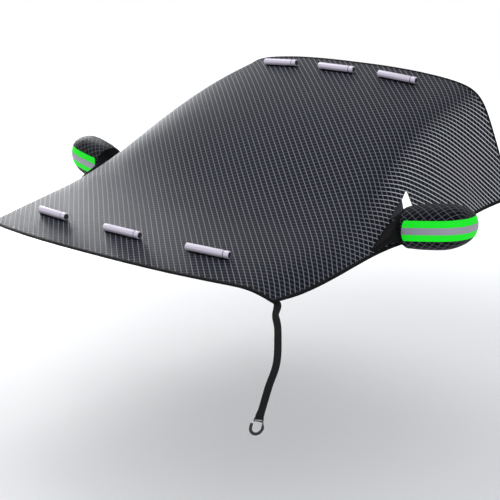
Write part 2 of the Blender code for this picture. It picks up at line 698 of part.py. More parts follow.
def main():
    clear_scene()
    scene = bpy.context.scene
    parts = bpy.data.collections.new("Windshield cover")
    cutters = bpy.data.collections.new("Cutters")
    scene.collection.children.link(parts)
    scene.collection.children.link(cutters)

    quilted = material("Quilted composite cloth", (0.030, 0.032, 0.042), 0.55)
    tape = material("Woven binding tape", (0.008, 0.008, 0.009), 0.75)
    plain = material("Plain black polyester", (0.012, 0.012, 0.015), 0.70)
    elastic = material("Black elastic", (0.010, 0.010, 0.010), 0.80)
    green = material("Fluorescent green tape", (0.020, 0.800, 0.035), 0.50)
    grey = material("Grey reflective tape", (0.320, 0.320, 0.370), 0.35)
    magnet = material("Nickel-plated magnet", (0.780, 0.760, 0.820), 0.25, 1.0)
    webbing = material("Black webbing", (0.012, 0.012, 0.013), 0.80)
    moulded = material("Black moulded nylon", (0.010, 0.010, 0.010), 0.45)

    make_sheet(parts, cutters, quilted)
    make_binding(parts, tape)
    for side, hand in ((1, "left"), (-1, "right")):
        make_bag(f"mirror_cover_{hand}", side, parts, quilted)
        make_tape(
            f"green_tape_{hand}", side, GREEN_HALF_HEIGHT, TAPE_STANDOFF, GREEN_TAPE, parts, green
        )
        make_tape(
            f"grey_tape_{hand}", side, GREY_HALF_HEIGHT, TAPE_STANDOFF + GREEN_TAPE + 2 * SEAT_GAP,
            GREY_TAPE, parts, grey,
        )
        make_elastic(f"mouth_elastic_{hand}", side, parts, elastic)
        make_gusset(f"mirror_gusset_{hand}", side, parts, plain)
        make_facing(f"slit_facing_{hand}", side, parts, plain)
        make_strap(f"tie_strap_{hand}", side, parts, webbing)
        make_hook(f"strap_hook_{hand}", side, parts, moulded)
    rows = (
        ("front", FRONT_MAGNET_ALONG, FRONT_MAGNET_SPACING),
        ("roof", ROOF_MAGNET_ALONG, ROOF_MAGNET_SPACING),
    )
    for row, along, spacing in rows:
        for place, count in (("right", -1), ("middle", 0), ("left", 1)):
            make_pad(f"magnet_pad_{row}_{place}", count * spacing, along, parts, plain)
            make_magnet(f"magnet_{row}_{place}", count * spacing, along, parts, magnet)


main()
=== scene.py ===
# %% [markdown]
# # A windshield cover, dressed for its portrait
# The part is already modelled as plain solids, and this script gives it its looks. The
# real cover is one large sheet of padded cloth with a bound edge. It lies over a front
# apron, a raked screen and a roof strip, and hangs down each side as a flap. Two mirror
# covers are sewn to slits in the flaps, six rod magnets lie on pads, and two tie straps
# end in hooks. The first cell loads the solids as a fixed frame. Everything after it is
# made in metres in that same frame, so no piece needs to be fitted into place.

import math

import bmesh
import bpy
import numpy as np
from mathutils import Matrix, Vector


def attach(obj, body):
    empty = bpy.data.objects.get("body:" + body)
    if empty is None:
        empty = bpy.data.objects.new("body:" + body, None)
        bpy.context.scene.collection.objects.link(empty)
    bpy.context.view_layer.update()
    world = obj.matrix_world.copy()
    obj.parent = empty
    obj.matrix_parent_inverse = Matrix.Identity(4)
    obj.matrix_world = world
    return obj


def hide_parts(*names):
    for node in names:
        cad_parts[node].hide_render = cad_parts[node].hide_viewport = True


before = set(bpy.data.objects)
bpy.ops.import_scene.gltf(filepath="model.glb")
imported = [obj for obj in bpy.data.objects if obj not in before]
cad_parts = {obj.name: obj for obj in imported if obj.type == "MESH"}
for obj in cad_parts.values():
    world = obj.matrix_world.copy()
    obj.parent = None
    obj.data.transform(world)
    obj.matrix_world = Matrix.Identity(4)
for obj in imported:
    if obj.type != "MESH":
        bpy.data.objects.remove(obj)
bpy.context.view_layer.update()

# %% [markdown]
# ## The camera first
# The photograph was taken from the front right, a little above the cover. The camera's
# direction is written as an azimuth and an elevation, because those two angles can be
# read off a photograph. The shift moves the picture sideways without turning the camera,
# which a cropped photograph needs.

# %% Camera
CAMERA_PLACE = (3.920, -4.303, 1.534)
CAMERA_AZIMUTH, CAMERA_ELEVATION, CAMERA_ROLL = 0.71374, 0.31908, -0.00639
LENS_MM, SENSOR_MM, SHIFT = 100.8, 36.0, (0.0551, 0.0819)


def new_object(name, data):
    """A new object in the scene, with its data."""
    made = bpy.data.objects.new(name, data)
    bpy.context.scene.collection.objects.link(made)
    return made


def camera_axes(azimuth, elevation, roll):
    """Right, up and backward unit vectors. Forward is (-sin a cos e, cos a cos e, -sin e),
    right is level, up is their cross product, and roll turns right towards up."""
    ahead, aside = math.cos(azimuth), math.sin(azimuth)
    level = math.cos(elevation)
    forward = Vector((-aside * level, ahead * level, -math.sin(elevation)))
    right = Vector((ahead, aside, 0.0))
    up = right.cross(forward)
    rolled = right * math.cos(roll) + up * math.sin(roll)
    return rolled, rolled.cross(forward), -forward


camera = new_object("camera", bpy.data.cameras.new("camera"))
axes = camera_axes(CAMERA_AZIMUTH, CAMERA_ELEVATION, CAMERA_ROLL)
camera.matrix_world = Matrix.Translation(CAMERA_PLACE) @ Matrix(axes).transposed().to_4x4()
camera.data.lens = LENS_MM
camera.data.sensor_width = SENSOR_MM
camera.data.shift_x, camera.data.shift_y = SHIFT
bpy.context.scene.camera = camera
print("camera looks along", [round(-x, 3) for x in axes[2]])

# %% [markdown]
# ## Helpers
# Small tools do most of the work: one reads a colour as it is written on a screen, two
# add shader nodes, and one turns rows of points into a closed, smooth mesh. Rows of
# points are the simplest way to make a shape from a formula, because the faces follow
# from the rows and columns and need no list.

# %% Colour and nodes
def linear(code):
    """Linear colour from an sRGB hex code: x / 12.92 below 0.04045, and
    ((x + 0.055) / 1.055) ** 2.4 above it."""
    values = [int(code[i : i + 2], 16) / 255 for i in (1, 3, 5)]
    return (*(x / 12.92 if x <= 0.04045 else ((x + 0.055) / 1.055) ** 2.4 for x in values), 1.0)


def add(tree, kind, values=None, links=None, **settings):
    """Adds one node with its settings, the values of its sockets and their links."""
    node = tree.nodes.new(kind)
    for name, value in settings.items():
        setattr(node, name, value)
    for socket, value in (values or {}).items():
        node.inputs[socket].default_value = value
    for socket, source in (links or {}).items():
        tree.links.new(source, node.inputs[socket])
    return node


def maths(tree, operation, first, second):
    """One operation on a shader value and on another value or a plain number."""
    plain = isinstance(second, float)
    node = add(tree, "ShaderNodeMath", {1: second} if plain else {},
               {0: first} if plain else {0: first, 1: second}, operation=operation)
    return node.outputs[0]


def new_material(name, **values):
    """A material with its node tree and its main shader, whose sockets take the values."""
    made = bpy.data.materials.new(name)
    made.use_nodes = True
    shader = made.node_tree.nodes["Principled BSDF"]
    for socket, value in values.items():
        shader.inputs[socket.replace("_", " ")].default_value = value
    return made, made.node_tree, shader


print("mid grey in linear:", round(linear("#808080")[0], 3))


# %% Closed skins
SIDES = (("left", 1), ("right", -1))
SHARP_FROM = math.radians(48)


def quads(index):
    """The four corners of every cell of a grid of indices."""
    corners = (index[:-1, :-1], index[:-1, 1:], index[1:, 1:], index[1:, :-1])
    return np.stack(corners, axis=-1).reshape(-1, 4)


def skin(rows, columns, closed):
    """Quads of a skin whose rows are closed sections, as indices of its points, and again
    as indices of its UV places, which have one more column, and one more row where the
    rows close too. Strips fill the end sections of a skin whose rows don't close."""
    index = np.arange(rows * columns).reshape(rows, columns)
    ring = np.concatenate([index, index[:, :1]], axis=1)
    if closed:
        ring = np.concatenate([ring, ring[:1]])
    places = np.arange(ring.size).reshape(ring.shape)
    if closed:
        return quads(ring), quads(places)
    k = np.arange(columns // 2 - 1)
    strip = np.stack([k, columns - 1 - k, columns - 2 - k, k + 1], axis=-1)
    return tuple(
        np.concatenate([quads(grid), grid[0][strip], grid[-1][strip[:, ::-1]]])
        for grid in (ring, places)
    )


def new_piece(name, points, places, materials=(), closed=False, slots=None):
    """A closed mesh object from a grid of points, a grid of UV places in metres, and a
    material number for each face. It is turned the right way out by its signed volume,
    the sum of a . (b x c) / 6 over its triangles."""
    points = np.asarray(points, float)
    faces, corners = skin(*points.shape[:2], closed)
    flat = points.reshape(-1, 3)
    a, b, c, d = (flat[faces[:, i]] for i in range(4))
    if np.sum(a * (np.cross(b, c) + np.cross(c, d))) < 0:
        faces, corners = faces[:, ::-1], corners[:, ::-1]
    mesh = bpy.data.meshes.new(name)
    mesh.from_pydata(flat.tolist(), [], faces.tolist())
    uv = np.asarray(places, np.float32).reshape(-1, 2)[corners.ravel()]
    mesh.uv_layers.new(name="cloth").data.foreach_set("uv", uv.ravel())
    for material in materials:
        mesh.materials.append(material)
    if slots is not None:
        numbers = np.zeros(len(faces), np.int32)
        numbers[: len(slots)] = slots
        mesh.polygons.foreach_set("material_index", numbers)
    mesh.shade_smooth()
    mesh.set_sharp_from_angle(angle=SHARP_FROM)
    return new_object(name, mesh)


def shown_mesh(piece):
    """A new mesh of what a piece shows, with its modifiers or its curve's bevel."""
    graph = bpy.context.evaluated_depsgraph_get()
    return bpy.data.meshes.new_from_object(piece.evaluated_get(graph))


def mirrored(points, side):
    """The points of the left side, or of the right side when side is -1."""
    return np.asarray(points, float) * np.array([side, 1.0, 1.0])


def both_sides(name, points, places, material, closed=False):
    """The left piece of a grid of points and its mirror image, by the name of the side."""
    return {which: new_piece(f"{name}_{which}", mirrored(points, side), places, [material],
                             closed) for which, side in SIDES}


def unit(vectors):
    return vectors / np.maximum(np.linalg.norm(vectors, axis=-1, keepdims=True), 1e-12)


def run(points, closed=False):
    """Distance covered along a line of points, from 0, and once more round if closed."""
    if closed:
        points = np.concatenate([points, points[:1]])
    return np.r_[0, np.cumsum(np.linalg.norm(np.diff(points, axis=0), axis=1))]


def grid(rows, columns):
    """UV places from the distance of each row and of each column."""
    return np.stack(np.meshgrid(rows, columns, indexing="ij"), axis=-1)


def leaf(upper, lower):
    """Rows that run over one face and back over the other, and their UV places."""
    middle = len(upper) // 2
    over = run(upper[middle])
    over = np.concatenate([over, over[::-1], over[:1]])
    along = run(upper[:, upper.shape[1] // 2])
    places = grid(along, over)[..., ::-1]
    return np.concatenate([upper, lower[:, ::-1]], axis=1), places


print("faces of a closed 3 by 4 skin:", len(skin(3, 4, True)[0]))

# %% [markdown]
# ## Light and floor
# A shiny dark cloth is seen mostly by what it reflects, so the room matters as much as
# the lamps. Three large soft lamps stand for a white studio: one high on the left, one in
# front for the near side, and one low at the far left, whose light glances off the apron
# and gives it a pale sheen. The camera sees plain white behind the cover, and so does
# anything shiny, but the cloth is lit by a dimmer room. The floor fades to white too.

# %% Lamps, background and floor
FLOOR, FLOOR_HALF = -1.068, 9.0
FLOOR_MIDDLE, FADE_FROM, FADE_TO, FADE_GLOW = (0.0, 0.3, FLOOR), 1.6, 4.5, 0.5


def area_lamp(name, place, target, size, power):
    lamp = bpy.data.lights.new(name, "AREA")
    lamp.shape = "RECTANGLE"
    lamp.size, lamp.size_y = size
    lamp.energy = power
    aim = Vector(target) - Vector(place)
    turn = aim.to_track_quat("-Z", "Y").to_matrix().to_4x4()
    new_object(name, lamp).matrix_world = Matrix.Translation(place) @ turn


def direct_ray(tree):
    """1 for a ray from the camera, and for one that a mirror or glass sends on."""
    rays = add(tree, "ShaderNodeLightPath").outputs
    either = maths(tree, "MAXIMUM", rays["Is Camera Ray"], rays["Is Glossy Ray"])
    return maths(tree, "MAXIMUM", either, rays["Is Transmission Ray"])


area_lamp("key_lamp", (-2.6, 1.2, 4.1), (0.0, 0.3, 0.1), (2.5, 2.5), 54)
area_lamp("front_lamp", (3.4, -3.4, 2.2), (0.4, 0.1, 0.0), (2.0, 2.0), 34)
area_lamp("sheen_lamp", (-5.6, 3.0, 1.0), (-0.6, -0.2, 0.0), (2.4, 1.1), 160)

world = bpy.data.worlds.new("studio")
bpy.context.scene.world = world
world.use_nodes = True
tree = world.node_tree
tree.nodes.clear()
room = add(tree, "ShaderNodeBackground", {"Color": linear("#F0F2F7"), "Strength": 0.75})
seen = add(tree, "ShaderNodeBackground", {"Color": linear("#FFFFFF"), "Strength": 1.0})
mix = add(tree, "ShaderNodeMixShader", links={0: direct_ray(tree), 1: room.outputs[0],
                                              2: seen.outputs[0]})
add(tree, "ShaderNodeOutputWorld", links={"Surface": mix.outputs[0]})

floor_paint, tree, shader = new_material(
    "white_floor", Base_Color=linear("#F4F4F4"), Roughness=0.6, Specular_IOR_Level=0.3)
spot = add(tree, "ShaderNodeNewGeometry").outputs["Position"]
away = add(tree, "ShaderNodeVectorMath", {1: FLOOR_MIDDLE}, {0: spot},
           operation="DISTANCE").outputs["Value"]
reach = {"From Min": FADE_FROM, "From Max": FADE_TO, "To Max": FADE_GLOW}
fade = add(tree, "ShaderNodeMapRange", reach, {"Value": away},
           interpolation_type="SMOOTHSTEP").outputs[0]
shader.inputs["Emission Color"].default_value = linear("#FFFFFF")
glow = maths(tree, "MULTIPLY", fade, direct_ray(tree))
tree.links.new(glow, shader.inputs["Emission Strength"])
floor_mesh = bpy.data.meshes.new("floor")
corners = [(x, y, FLOOR) for x in (-FLOOR_HALF, FLOOR_HALF) for y in (-FLOOR_HALF, FLOOR_HALF)]
floor_mesh.from_pydata(corners, [], [(0, 2, 3, 1)])
floor_mesh.materials.append(floor_paint)
floor = new_object("floor", floor_mesh)
bpy.context.scene.view_settings.view_transform = "Standard"
print("floor at", FLOOR)

# %% [markdown]
# ## Finishes
# Almost everything here is woven. A weave is a chequerboard of short ridges: in one
# square the threads that show run one way, and in the next they run the other way. The
# ridges are a bump, a false tilt of the surface, because real threads would take millions
# of faces. Every piece carries a UV map in metres, so the thread sizes below are real.

# %% Patterns
def distance_along(tree, place, heading, pitch):
    """Distance of a place along a heading, counted in pitches."""
    scaled = (heading[0] / pitch, heading[1] / pitch, 0.0)
    return add(tree, "ShaderNodeVectorMath", {1: scaled}, {0: place},
               operation="DOT_PRODUCT").outputs["Value"]


def stripes(tree, place, heading, pitch, width, soft=0.0005):
    """1 on parallel lines across the heading and 0 between them. The distance along the
    heading is folded to its distance from the nearest whole pitch."""
    fold = maths(tree, "PINGPONG", distance_along(tree, place, heading, pitch), 0.5)
    edge, blur = width / 2 / pitch, soft / pitch
    return add(tree, "ShaderNodeMapRange", {"From Min": edge + blur, "From Max": edge - blur},
               {"Value": fold}, interpolation_type="SMOOTHSTEP").outputs[0]


def weave(tree, place, pitch, threads=1, turn=0.0):
    """Height of woven cloth, from 0 to 1: squares of the pitch, each with its number of
    threads, which run one way and the other by turns."""
    headings = (math.cos(turn), math.sin(turn)), (-math.sin(turn), math.cos(turn))
    counts = [distance_along(tree, place, heading, pitch) for heading in headings]
    cell = add(tree, "ShaderNodeCombineXYZ", links={"X": counts[0], "Y": counts[1]})
    squares = add(tree, "ShaderNodeTexChecker", {"Scale": 1.0}, {"Vector": cell.outputs[0]})
    across, along = (maths(tree, "PINGPONG", count, 0.5 / threads) for count in counts)
    mixed = add(tree, "ShaderNodeMix", data_type="FLOAT",
                links={0: squares.outputs["Fac"], 2: across, 3: along})
    return maths(tree, "MULTIPLY", mixed.outputs[0], 2.0 * threads)


def speckle(tree, place, scale, detail=2.0):
    """Smooth random height whose grains are about 1 / scale wide."""
    return add(tree, "ShaderNodeTexNoise", {"Scale": scale, "Detail": detail},
               {"Vector": place}).outputs["Fac"]


def raise_surface(tree, shader, height, depth):
    """Tilts the surface as if the height stood up by the depth."""
    bump = add(tree, "ShaderNodeBump", {"Distance": depth}, {"Height": height})
    tree.links.new(bump.outputs[0], shader.inputs["Normal"])


def between(tree, share, low, high):
    """Colour between two others."""
    return add(tree, "ShaderNodeMix", {6: linear(low), 7: linear(high)}, {0: share},
               data_type="RGBA").outputs[2]


def cloth_places(tree):
    return add(tree, "ShaderNodeUVMap", uv_map="cloth").outputs["UV"]


def own_places(tree):
    return add(tree, "ShaderNodeTexCoord").outputs["Object"]


def plain_weave(name, pitch, depth, turn=0.0, **values):
    """A material of one colour with one thread in each square of its weave."""
    made, tree, shader = new_material(name, **values)
    raise_surface(tree, shader, weave(tree, cloth_places(tree), pitch, 1, turn), depth)
    return made


print("patterns ready")

# %% [markdown]
# ## The cover's cloth
# The face is a black basket weave of flat, shiny yarn, crossed by two sets of pale lines.
# One set is seen everywhere. The other is faint on the top panels and bright on the side
# flaps. These strengths are painted sheen, the light that the threads catch on the flaps,
# so an attribute of the mesh says how much of that painted sheen a place gets. The same
# cloth makes the mirror covers.

# %% Cover cloth
LINES_ONE, LINES_TWO = math.radians(43.5), math.radians(35)
PITCH_ONE, PITCH_TWO = 0.0217, 0.0228
YARN_SQUARE = 0.0034


def cover_cloth_finish(name, width_one, width_two, shown_one, shown_two, raised):
    """Cloth with two sets of lines, each with a width in metres and a strength on the top
    panels and on the flaps, whose difference is painted sheen. Between two lines of the
    second set the yarn dips, and a broad band there is painted darker than the raised yarn,
    as painted shade."""
    made, tree, shader = new_material(name, Roughness=0.48, Specular_IOR_Level=0.09,
                                      Specular_Tint=linear("#BAC4F6"))
    place = cloth_places(tree)
    one = (math.sin(LINES_ONE), math.cos(LINES_ONE))
    two = (-math.sin(LINES_TWO), math.cos(LINES_TWO))
    # the flap attribute carries the painted sheen of the lines: how bright each set is painted
    flap = add(tree, "ShaderNodeAttribute", attribute_name="flap").outputs["Fac"]
    shown = []
    for heading, pitch, width, (on_top, on_flap) in (
        (one, PITCH_ONE, width_one, shown_one), (two, PITCH_TWO, width_two, shown_two),
    ):
        line = stripes(tree, place, heading, pitch, width)
        strength = add(tree, "ShaderNodeMapRange", {"To Min": on_top, "To Max": on_flap},
                       {"Value": flap}).outputs[0]
        shown.append(maths(tree, "MULTIPLY", line, strength))
    # painted shade: the broad band in the yarn's dips, between the crests, is coloured darker
    unshaded_crest = stripes(tree, place, two, PITCH_TWO, 0.5 * PITCH_TWO, 0.002)
    ground_with_painted_shade = between(tree, unshaded_crest, "#050608", raised)
    colour = add(tree, "ShaderNodeMix", {7: linear("#F0F2F7")},
                 {0: maths(tree, "MAXIMUM", *shown), 6: ground_with_painted_shade}, data_type="RGBA")
    tree.links.new(colour.outputs[2], shader.inputs["Base Color"])
    raise_surface(tree, shader, weave(tree, place, YARN_SQUARE, 3, LINES_TWO), 0.00025)
    return made


# woven polyester: flat shiny yarn, so it mirrors the room softly at a low angle
# the top and flap strengths of each set of lines paint the threads' sheen: set two bright on the
# flaps, set one fainter there
woven_polyester = cover_cloth_finish("woven_polyester", 0.0032, 0.0036, (0.25, 0.16), (0.08, 1.0),
                                     "#151928")
print("line pitches, mm:", PITCH_ONE * 1000, PITCH_TWO * 1000)

# %% [markdown]
# ## The other finishes
# The lining is brushed felt, the binding is a matt tape with a row of stitches, and the
# gussets are plain polyester. The bright band is fluorescent tape, with a strip of glass
# beads down its middle. The magnets have a satin plating and the straps are webbing.

# %% Other cloths and tapes
# brushed felt: short fibres in all directions, so it is dull and has a soft edge light
lining, tree, shader = new_material(
    "brushed_lining", Base_Color=linear("#1C1D21"), Roughness=0.95, Specular_IOR_Level=0.1,
    Sheen_Weight=0.1)
raise_surface(tree, shader, speckle(tree, cloth_places(tree), 900.0, 3.0), 0.0006)

# binding tape: ribbed matt polyester, folded over the edge and stitched through
binding_tape, tree, shader = new_material(
    "binding_tape", Roughness=0.7, Specular_IOR_Level=0.08, Sheen_Weight=0.02)
place = cloth_places(tree)
dashes = stripes(tree, place, (1.0, 0.0), 0.0036, 0.0027, 0.0002)
row = stripes(tree, place, (0.0, 1.0), 0.0190, 0.0007, 0.0002)
stitch = maths(tree, "MULTIPLY", dashes, row)
tree.links.new(between(tree, stitch, "#0E0E10", "#34353A"), shader.inputs["Base Color"])
raise_surface(tree, shader, weave(tree, place, 0.0009), 0.00015)

# plain polyester: thin, close weave with a dull black dye
plain_polyester = plain_weave("plain_polyester", 0.0012, 0.0002, Base_Color=linear("#0C0C0F"),
                              Roughness=0.66, Specular_IOR_Level=0.07, Sheen_Weight=0.01)

# facing: the same polyester with a smooth coated back, which shows where it is folded
coated_polyester = plain_weave("coated_polyester", 0.0010, 0.00012, Roughness=0.40,
                               Base_Color=linear("#24262E"), Specular_IOR_Level=0.18)

# elastic: rubber cord under a knitted sleeve, gathered into small ribs
covered_elastic, _, _ = new_material(
    "covered_elastic", Base_Color=linear("#0C0C0E"), Roughness=0.75, Specular_IOR_Level=0.1,
    Sheen_Weight=0.04)

# fluorescent tape: dye that gives back more green than falls on it, hence a slight glow
green_tape = plain_weave("fluorescent_tape", 0.0011, 0.00008, Base_Color=linear("#12E824"),
                         Roughness=0.55, Specular_IOR_Level=0.2,
                         Emission_Color=linear("#12E824"), Emission_Strength=0.22)

# reflective tape: glass beads in silver-grey resin, so it looks flat grey by daylight
grey_tape, tree, shader = new_material(
    "reflective_tape", Base_Color=linear("#9A9AA6"), Roughness=0.45, Metallic=0.35)
beads = add(tree, "ShaderNodeTexVoronoi", {"Scale": 2500.0}, {"Vector": cloth_places(tree)})
raise_surface(tree, shader, beads.outputs["Distance"], 0.00008)

# webbing: thick polypropylene yarns in a slanted weave
webbing = plain_weave("webbing", 0.0022, 0.0004, math.radians(45),
                      Base_Color=linear("#0E0E11"), Roughness=0.55, Specular_IOR_Level=0.15)
print("materials:", len(bpy.data.materials))

# %% Rods and hooks
# satin plate: a frosted plating that scatters light, so it is pale all round the rod, with
# fine polishing marks round it
# the lilac tint of its base colour is a painted purple glow
satin_plate, tree, shader = new_material(
    "satin_plate", Base_Color=linear("#DCD4E4"), Metallic=0.25, Roughness=0.36)
stretched = add(tree, "ShaderNodeVectorMath", {1: (900.0, 20.0, 0.0)},
                {0: cloth_places(tree)}, operation="MULTIPLY").outputs[0]
raise_surface(tree, shader, speckle(tree, stretched, 1.0), 0.00004)

# painted shade: a dark colour on the rod's ends and in its groove, with a fine grain
rod_end_painted_shade, tree, shader = new_material(
    "rod_end_painted_shade", Base_Color=linear("#2B2930"), Roughness=0.55, Specular_IOR_Level=0.3)
raise_surface(tree, shader, speckle(tree, own_places(tree), 1800.0), 0.00008)

# moulded nylon: a fine grained surface from an etched mould
nylon, tree, shader = new_material(
    "moulded_nylon", Base_Color=linear("#121214"), Roughness=0.42)
raise_surface(tree, shader, speckle(tree, own_places(tree), 1400.0), 0.00006)
print("materials:", len(bpy.data.materials))

# %% [markdown]
# ## The drape
# Draped cloth could be simulated, but this cover is stretched tight, so its shape is
# known: six rows from the front hem to the roof hem each give a middle point, a shoulder
# point and a hem point. A smooth curve through the rows gives every other row. The solids
# are made from the same numbers, so the cloth lies exactly where they are.
#
# Every place on the cloth has two distances in metres: across, from the middle line, and
# along, from the front hem. Laid out flat, they are also its UV map, so the woven lines
# bend over the shoulder as they do in real cloth.

# %% Rows of the drape
# middle (y, z), shoulder (x, y, z), hem (x, y, z), bend length, crown power
DRAPE_ROWS = np.array([
    [-0.585, -0.081, 0.745, -0.480, -0.100, 0.820, -0.435, -0.153, 0.026, 2.6],
    [-0.300, -0.036, 0.762, -0.190, -0.055, 0.858, -0.170, -0.135, 0.033, 2.6],
    [0.000, 0.000, 0.770, 0.100, 0.002, 0.870, 0.140, -0.094, 0.045, 2.4],
    [0.440, 0.207, 0.715, 0.500, 0.187, 0.876, 0.600, -0.097, 0.050, 2.2],
    [0.860, 0.387, 0.675, 0.900, 0.342, 0.876, 0.950, -0.074, 0.050, 2.4],
    [1.200, 0.463, 0.680, 1.235, 0.404, 0.876, 1.221, -0.066, 0.045, 2.6],
])
DRAPE_KNOTS = np.r_[0, np.cumsum(np.hypot(*np.diff(DRAPE_ROWS[:, :2], axis=0).T))]
COVER_LENGTH = DRAPE_KNOTS[-1]
CLOTH = 0.004


def natural_spline(places, knots, values):
    """The smooth curve through values at the knots, straight at both ends: one cubic for
    each stretch, a blend of its two end values plus the cubes of the blend weights times
    the bends, which are solved so that the slopes agree where two stretches meet."""
    values = np.asarray(values, float).reshape(len(knots), -1)
    step = np.diff(knots)
    matrix = np.eye(len(knots))
    right = np.zeros_like(values)
    slopes = np.diff(values, axis=0) / step[:, None]
    inner = np.arange(1, len(knots) - 1)
    matrix[inner, inner - 1] = step[:-1]
    matrix[inner, inner] = 2 * (step[:-1] + step[1:])
    matrix[inner, inner + 1] = step[1:]
    right[1:-1] = 6 * np.diff(slopes, axis=0)
    bends = np.linalg.solve(matrix, right)
    places = np.asarray(places, float)
    k = np.clip(np.searchsorted(knots, places, side="right") - 1, 0, len(knots) - 2)
    before = ((knots[k + 1] - places) / step[k])[..., None]
    after = 1 - before
    curve = (before**3 - before) * bends[k] + (after**3 - after) * bends[k + 1]
    return before * values[k] + after * values[k + 1] + curve * (step[k] ** 2)[..., None] / 6


def drape_row(along):
    """Middle, shoulder and hem points at distances along, then the lengths of cloth from
    the middle to the shoulder and on to the hem, the bend length and the crown power."""
    row = natural_spline(along, DRAPE_KNOTS, DRAPE_ROWS)
    middle = np.concatenate([np.zeros_like(row[..., :1]), row[..., :2]], axis=-1)
    shoulder, hem = row[..., 2:5], row[..., 5:8]
    crown = np.linalg.norm(shoulder - middle, axis=-1)
    flap = np.linalg.norm(hem - shoulder, axis=-1)
    return middle, shoulder, hem, crown, flap, row[..., 8], row[..., 9]


def half_width(along):
    return sum(drape_row(along)[3:5])


print(f"cloth: {COVER_LENGTH:.2f} m long, {2 * half_width(0.0):.2f} to "
      f"{2 * half_width(COVER_LENGTH):.2f} m wide")


# %% The taut surface
def taut_cloth(across, along):
    """Underside of the stretched cloth. Past is how far a place is beyond the shoulder,
    as a softplus, bend * log(1 + exp((|across| - crown) / bend)), which rounds the fold.
    The rest runs over the crown, whose height follows a power of the share of its width,
    and past runs down the straight flap."""
    across, along = np.broadcast_arrays(np.asarray(across, float), np.asarray(along, float))
    middle, shoulder, hem, crown, flap, bend, power = drape_row(along)
    past = bend * np.logaddexp(0.0, (np.abs(across) - crown) / bend)
    whole = bend * np.logaddexp(0.0, flap / bend)
    share = (np.abs(across) - past) / crown
    down = (past / whole)[..., None] * (hem - shoulder)
    rise = np.clip(share, 0.0, None)[..., None] ** power[..., None]
    point = middle + (shoulder - middle) * rise + down
    point[..., 0] = np.sign(across) * (shoulder[..., 0] * share + down[..., 0])
    return point


def flat_places(across, along):
    """Places on the cloth as it was cut. Its rows are straight there but swept on the
    drape, so a place lies further back by the part of the crown, and of the flap, that
    runs along the middle line's own direction."""
    middle, shoulder, hem, crown, flap, bend, power = drape_row(along)
    ahead = unit(drape_row(along + 0.01)[0] - drape_row(along - 0.01)[0])
    past = np.clip((np.abs(across) - crown) / flap, 0, 1)
    share = np.clip(np.abs(across) / crown, 0, 1) ** power
    sweep = np.sum((shoulder - middle) * ahead, axis=-1) * share
    sweep = sweep + np.sum((hem - shoulder) * ahead, axis=-1) * past
    return np.stack([across, along + sweep], axis=-1)


# heights of the waves, the roll and the creases, and then where each lies and its reach
HEM_WAVE, FOOT_ROLL, SLIT_PULL = 0.0035, 0.0030, 0.0022
WAVE_LENGTH, WAVE_DRIFT, ROLL_ALONG, ROLL_REACH = 0.34, 0.93, 0.66, 0.07
SLIT_MIDDLE, CREASE_START, CREASE_REACH = (0.880, 0.975), 0.09, 0.13


def slack(across, along):
    """Height of the cloth's soft waves above the taut surface: waves down the flaps that
    grow with the square of the way to the hem, one low roll where the apron turns up into
    the screen, and creases round each slit that die away with distance."""
    crown, flap = drape_row(along)[3:5]
    side = np.sign(across)
    down = np.clip((np.abs(across) - crown) / flap, 0, 1)
    drift = 0.9 * np.sin(2 * np.pi * along / WAVE_DRIFT)
    phase = 2 * np.pi * along / WAVE_LENGTH + drift + 1.1 * side
    waves = HEM_WAVE * down**2 * np.sin(phase)
    window = np.clip(1 - (np.abs(across) / crown) ** 4, 0, 1)
    roll = FOOT_ROLL * np.exp(-(((along - ROLL_ALONG) / ROLL_REACH) ** 2)) * window
    dx, dy = np.abs(across) - SLIT_MIDDLE[0], along - SLIT_MIDDLE[1]
    far = np.hypot(dx, dy)
    creases = SLIT_PULL * np.exp(-far / CREASE_REACH) * np.clip(far / CREASE_START - 1, 0, 1)
    return waves + roll + creases * np.sin(6 * np.arctan2(dy, dx) + 0.7)


def directions(surface, across, along, step=0.002):
    """Unit normal, sideways and backward directions of a surface, from differences."""
    side = unit(surface(across + step, along) - surface(across - step, along))
    back = unit(surface(across, along + step) - surface(across, along - step))
    return unit(np.cross(side, back)), side, back


def cloth(across, along):
    """Underside of the cloth with its waves."""
    normal, _, _ = directions(taut_cloth, across, along)
    return taut_cloth(across, along) + normal * slack(across, along)[..., None]


def on_cloth(across, along, height=0.0):
    """Points at a height above the cloth's upper face, and the normal there."""
    across, along = np.broadcast_arrays(np.asarray(across, float), np.asarray(along, float))
    normal, _, _ = directions(cloth, across, along)
    return cloth(across, along) + normal * (CLOTH + np.asarray(height, float))[..., None], normal


print("a point on the shoulder:", taut_cloth(0.75, 0.9).round(3))

# %% [markdown]
# ## The sheet
# The real sheet is three layers sewn together: a shiny woven face, padding, and a soft
# lining. It is made here as one closed skin: each row runs over the upper face from hem
# to hem and back along the underside, which gets the lining's material. A Solidify
# modifier would do the same, but the formula keeps both faces exact. The slits are cut
# with a prism, as in the solid.

# %% Sheet
SHEET_ROWS, SHEET_COLUMNS = 184, 222
SLIT_CORNERS = np.array([[0.827, 1.062], [0.843, 0.985], [0.935, 0.905], [0.893, 1.030]])
CUTTER_REACH = 0.03


def slit_prism(side):
    """A prism through the flap whose outline is the slit, as a cutter."""
    normal, _, _ = directions(taut_cloth, *SLIT_CORNERS.mean(axis=0))
    outline, reach = taut_cloth(*SLIT_CORNERS.T), normal * CUTTER_REACH
    points = mirrored(np.stack([outline - reach, outline + reach]), side)
    cutter = new_piece("slit_cutter", points, np.zeros((2, 5, 2)))
    cutter.hide_render = True
    return cutter


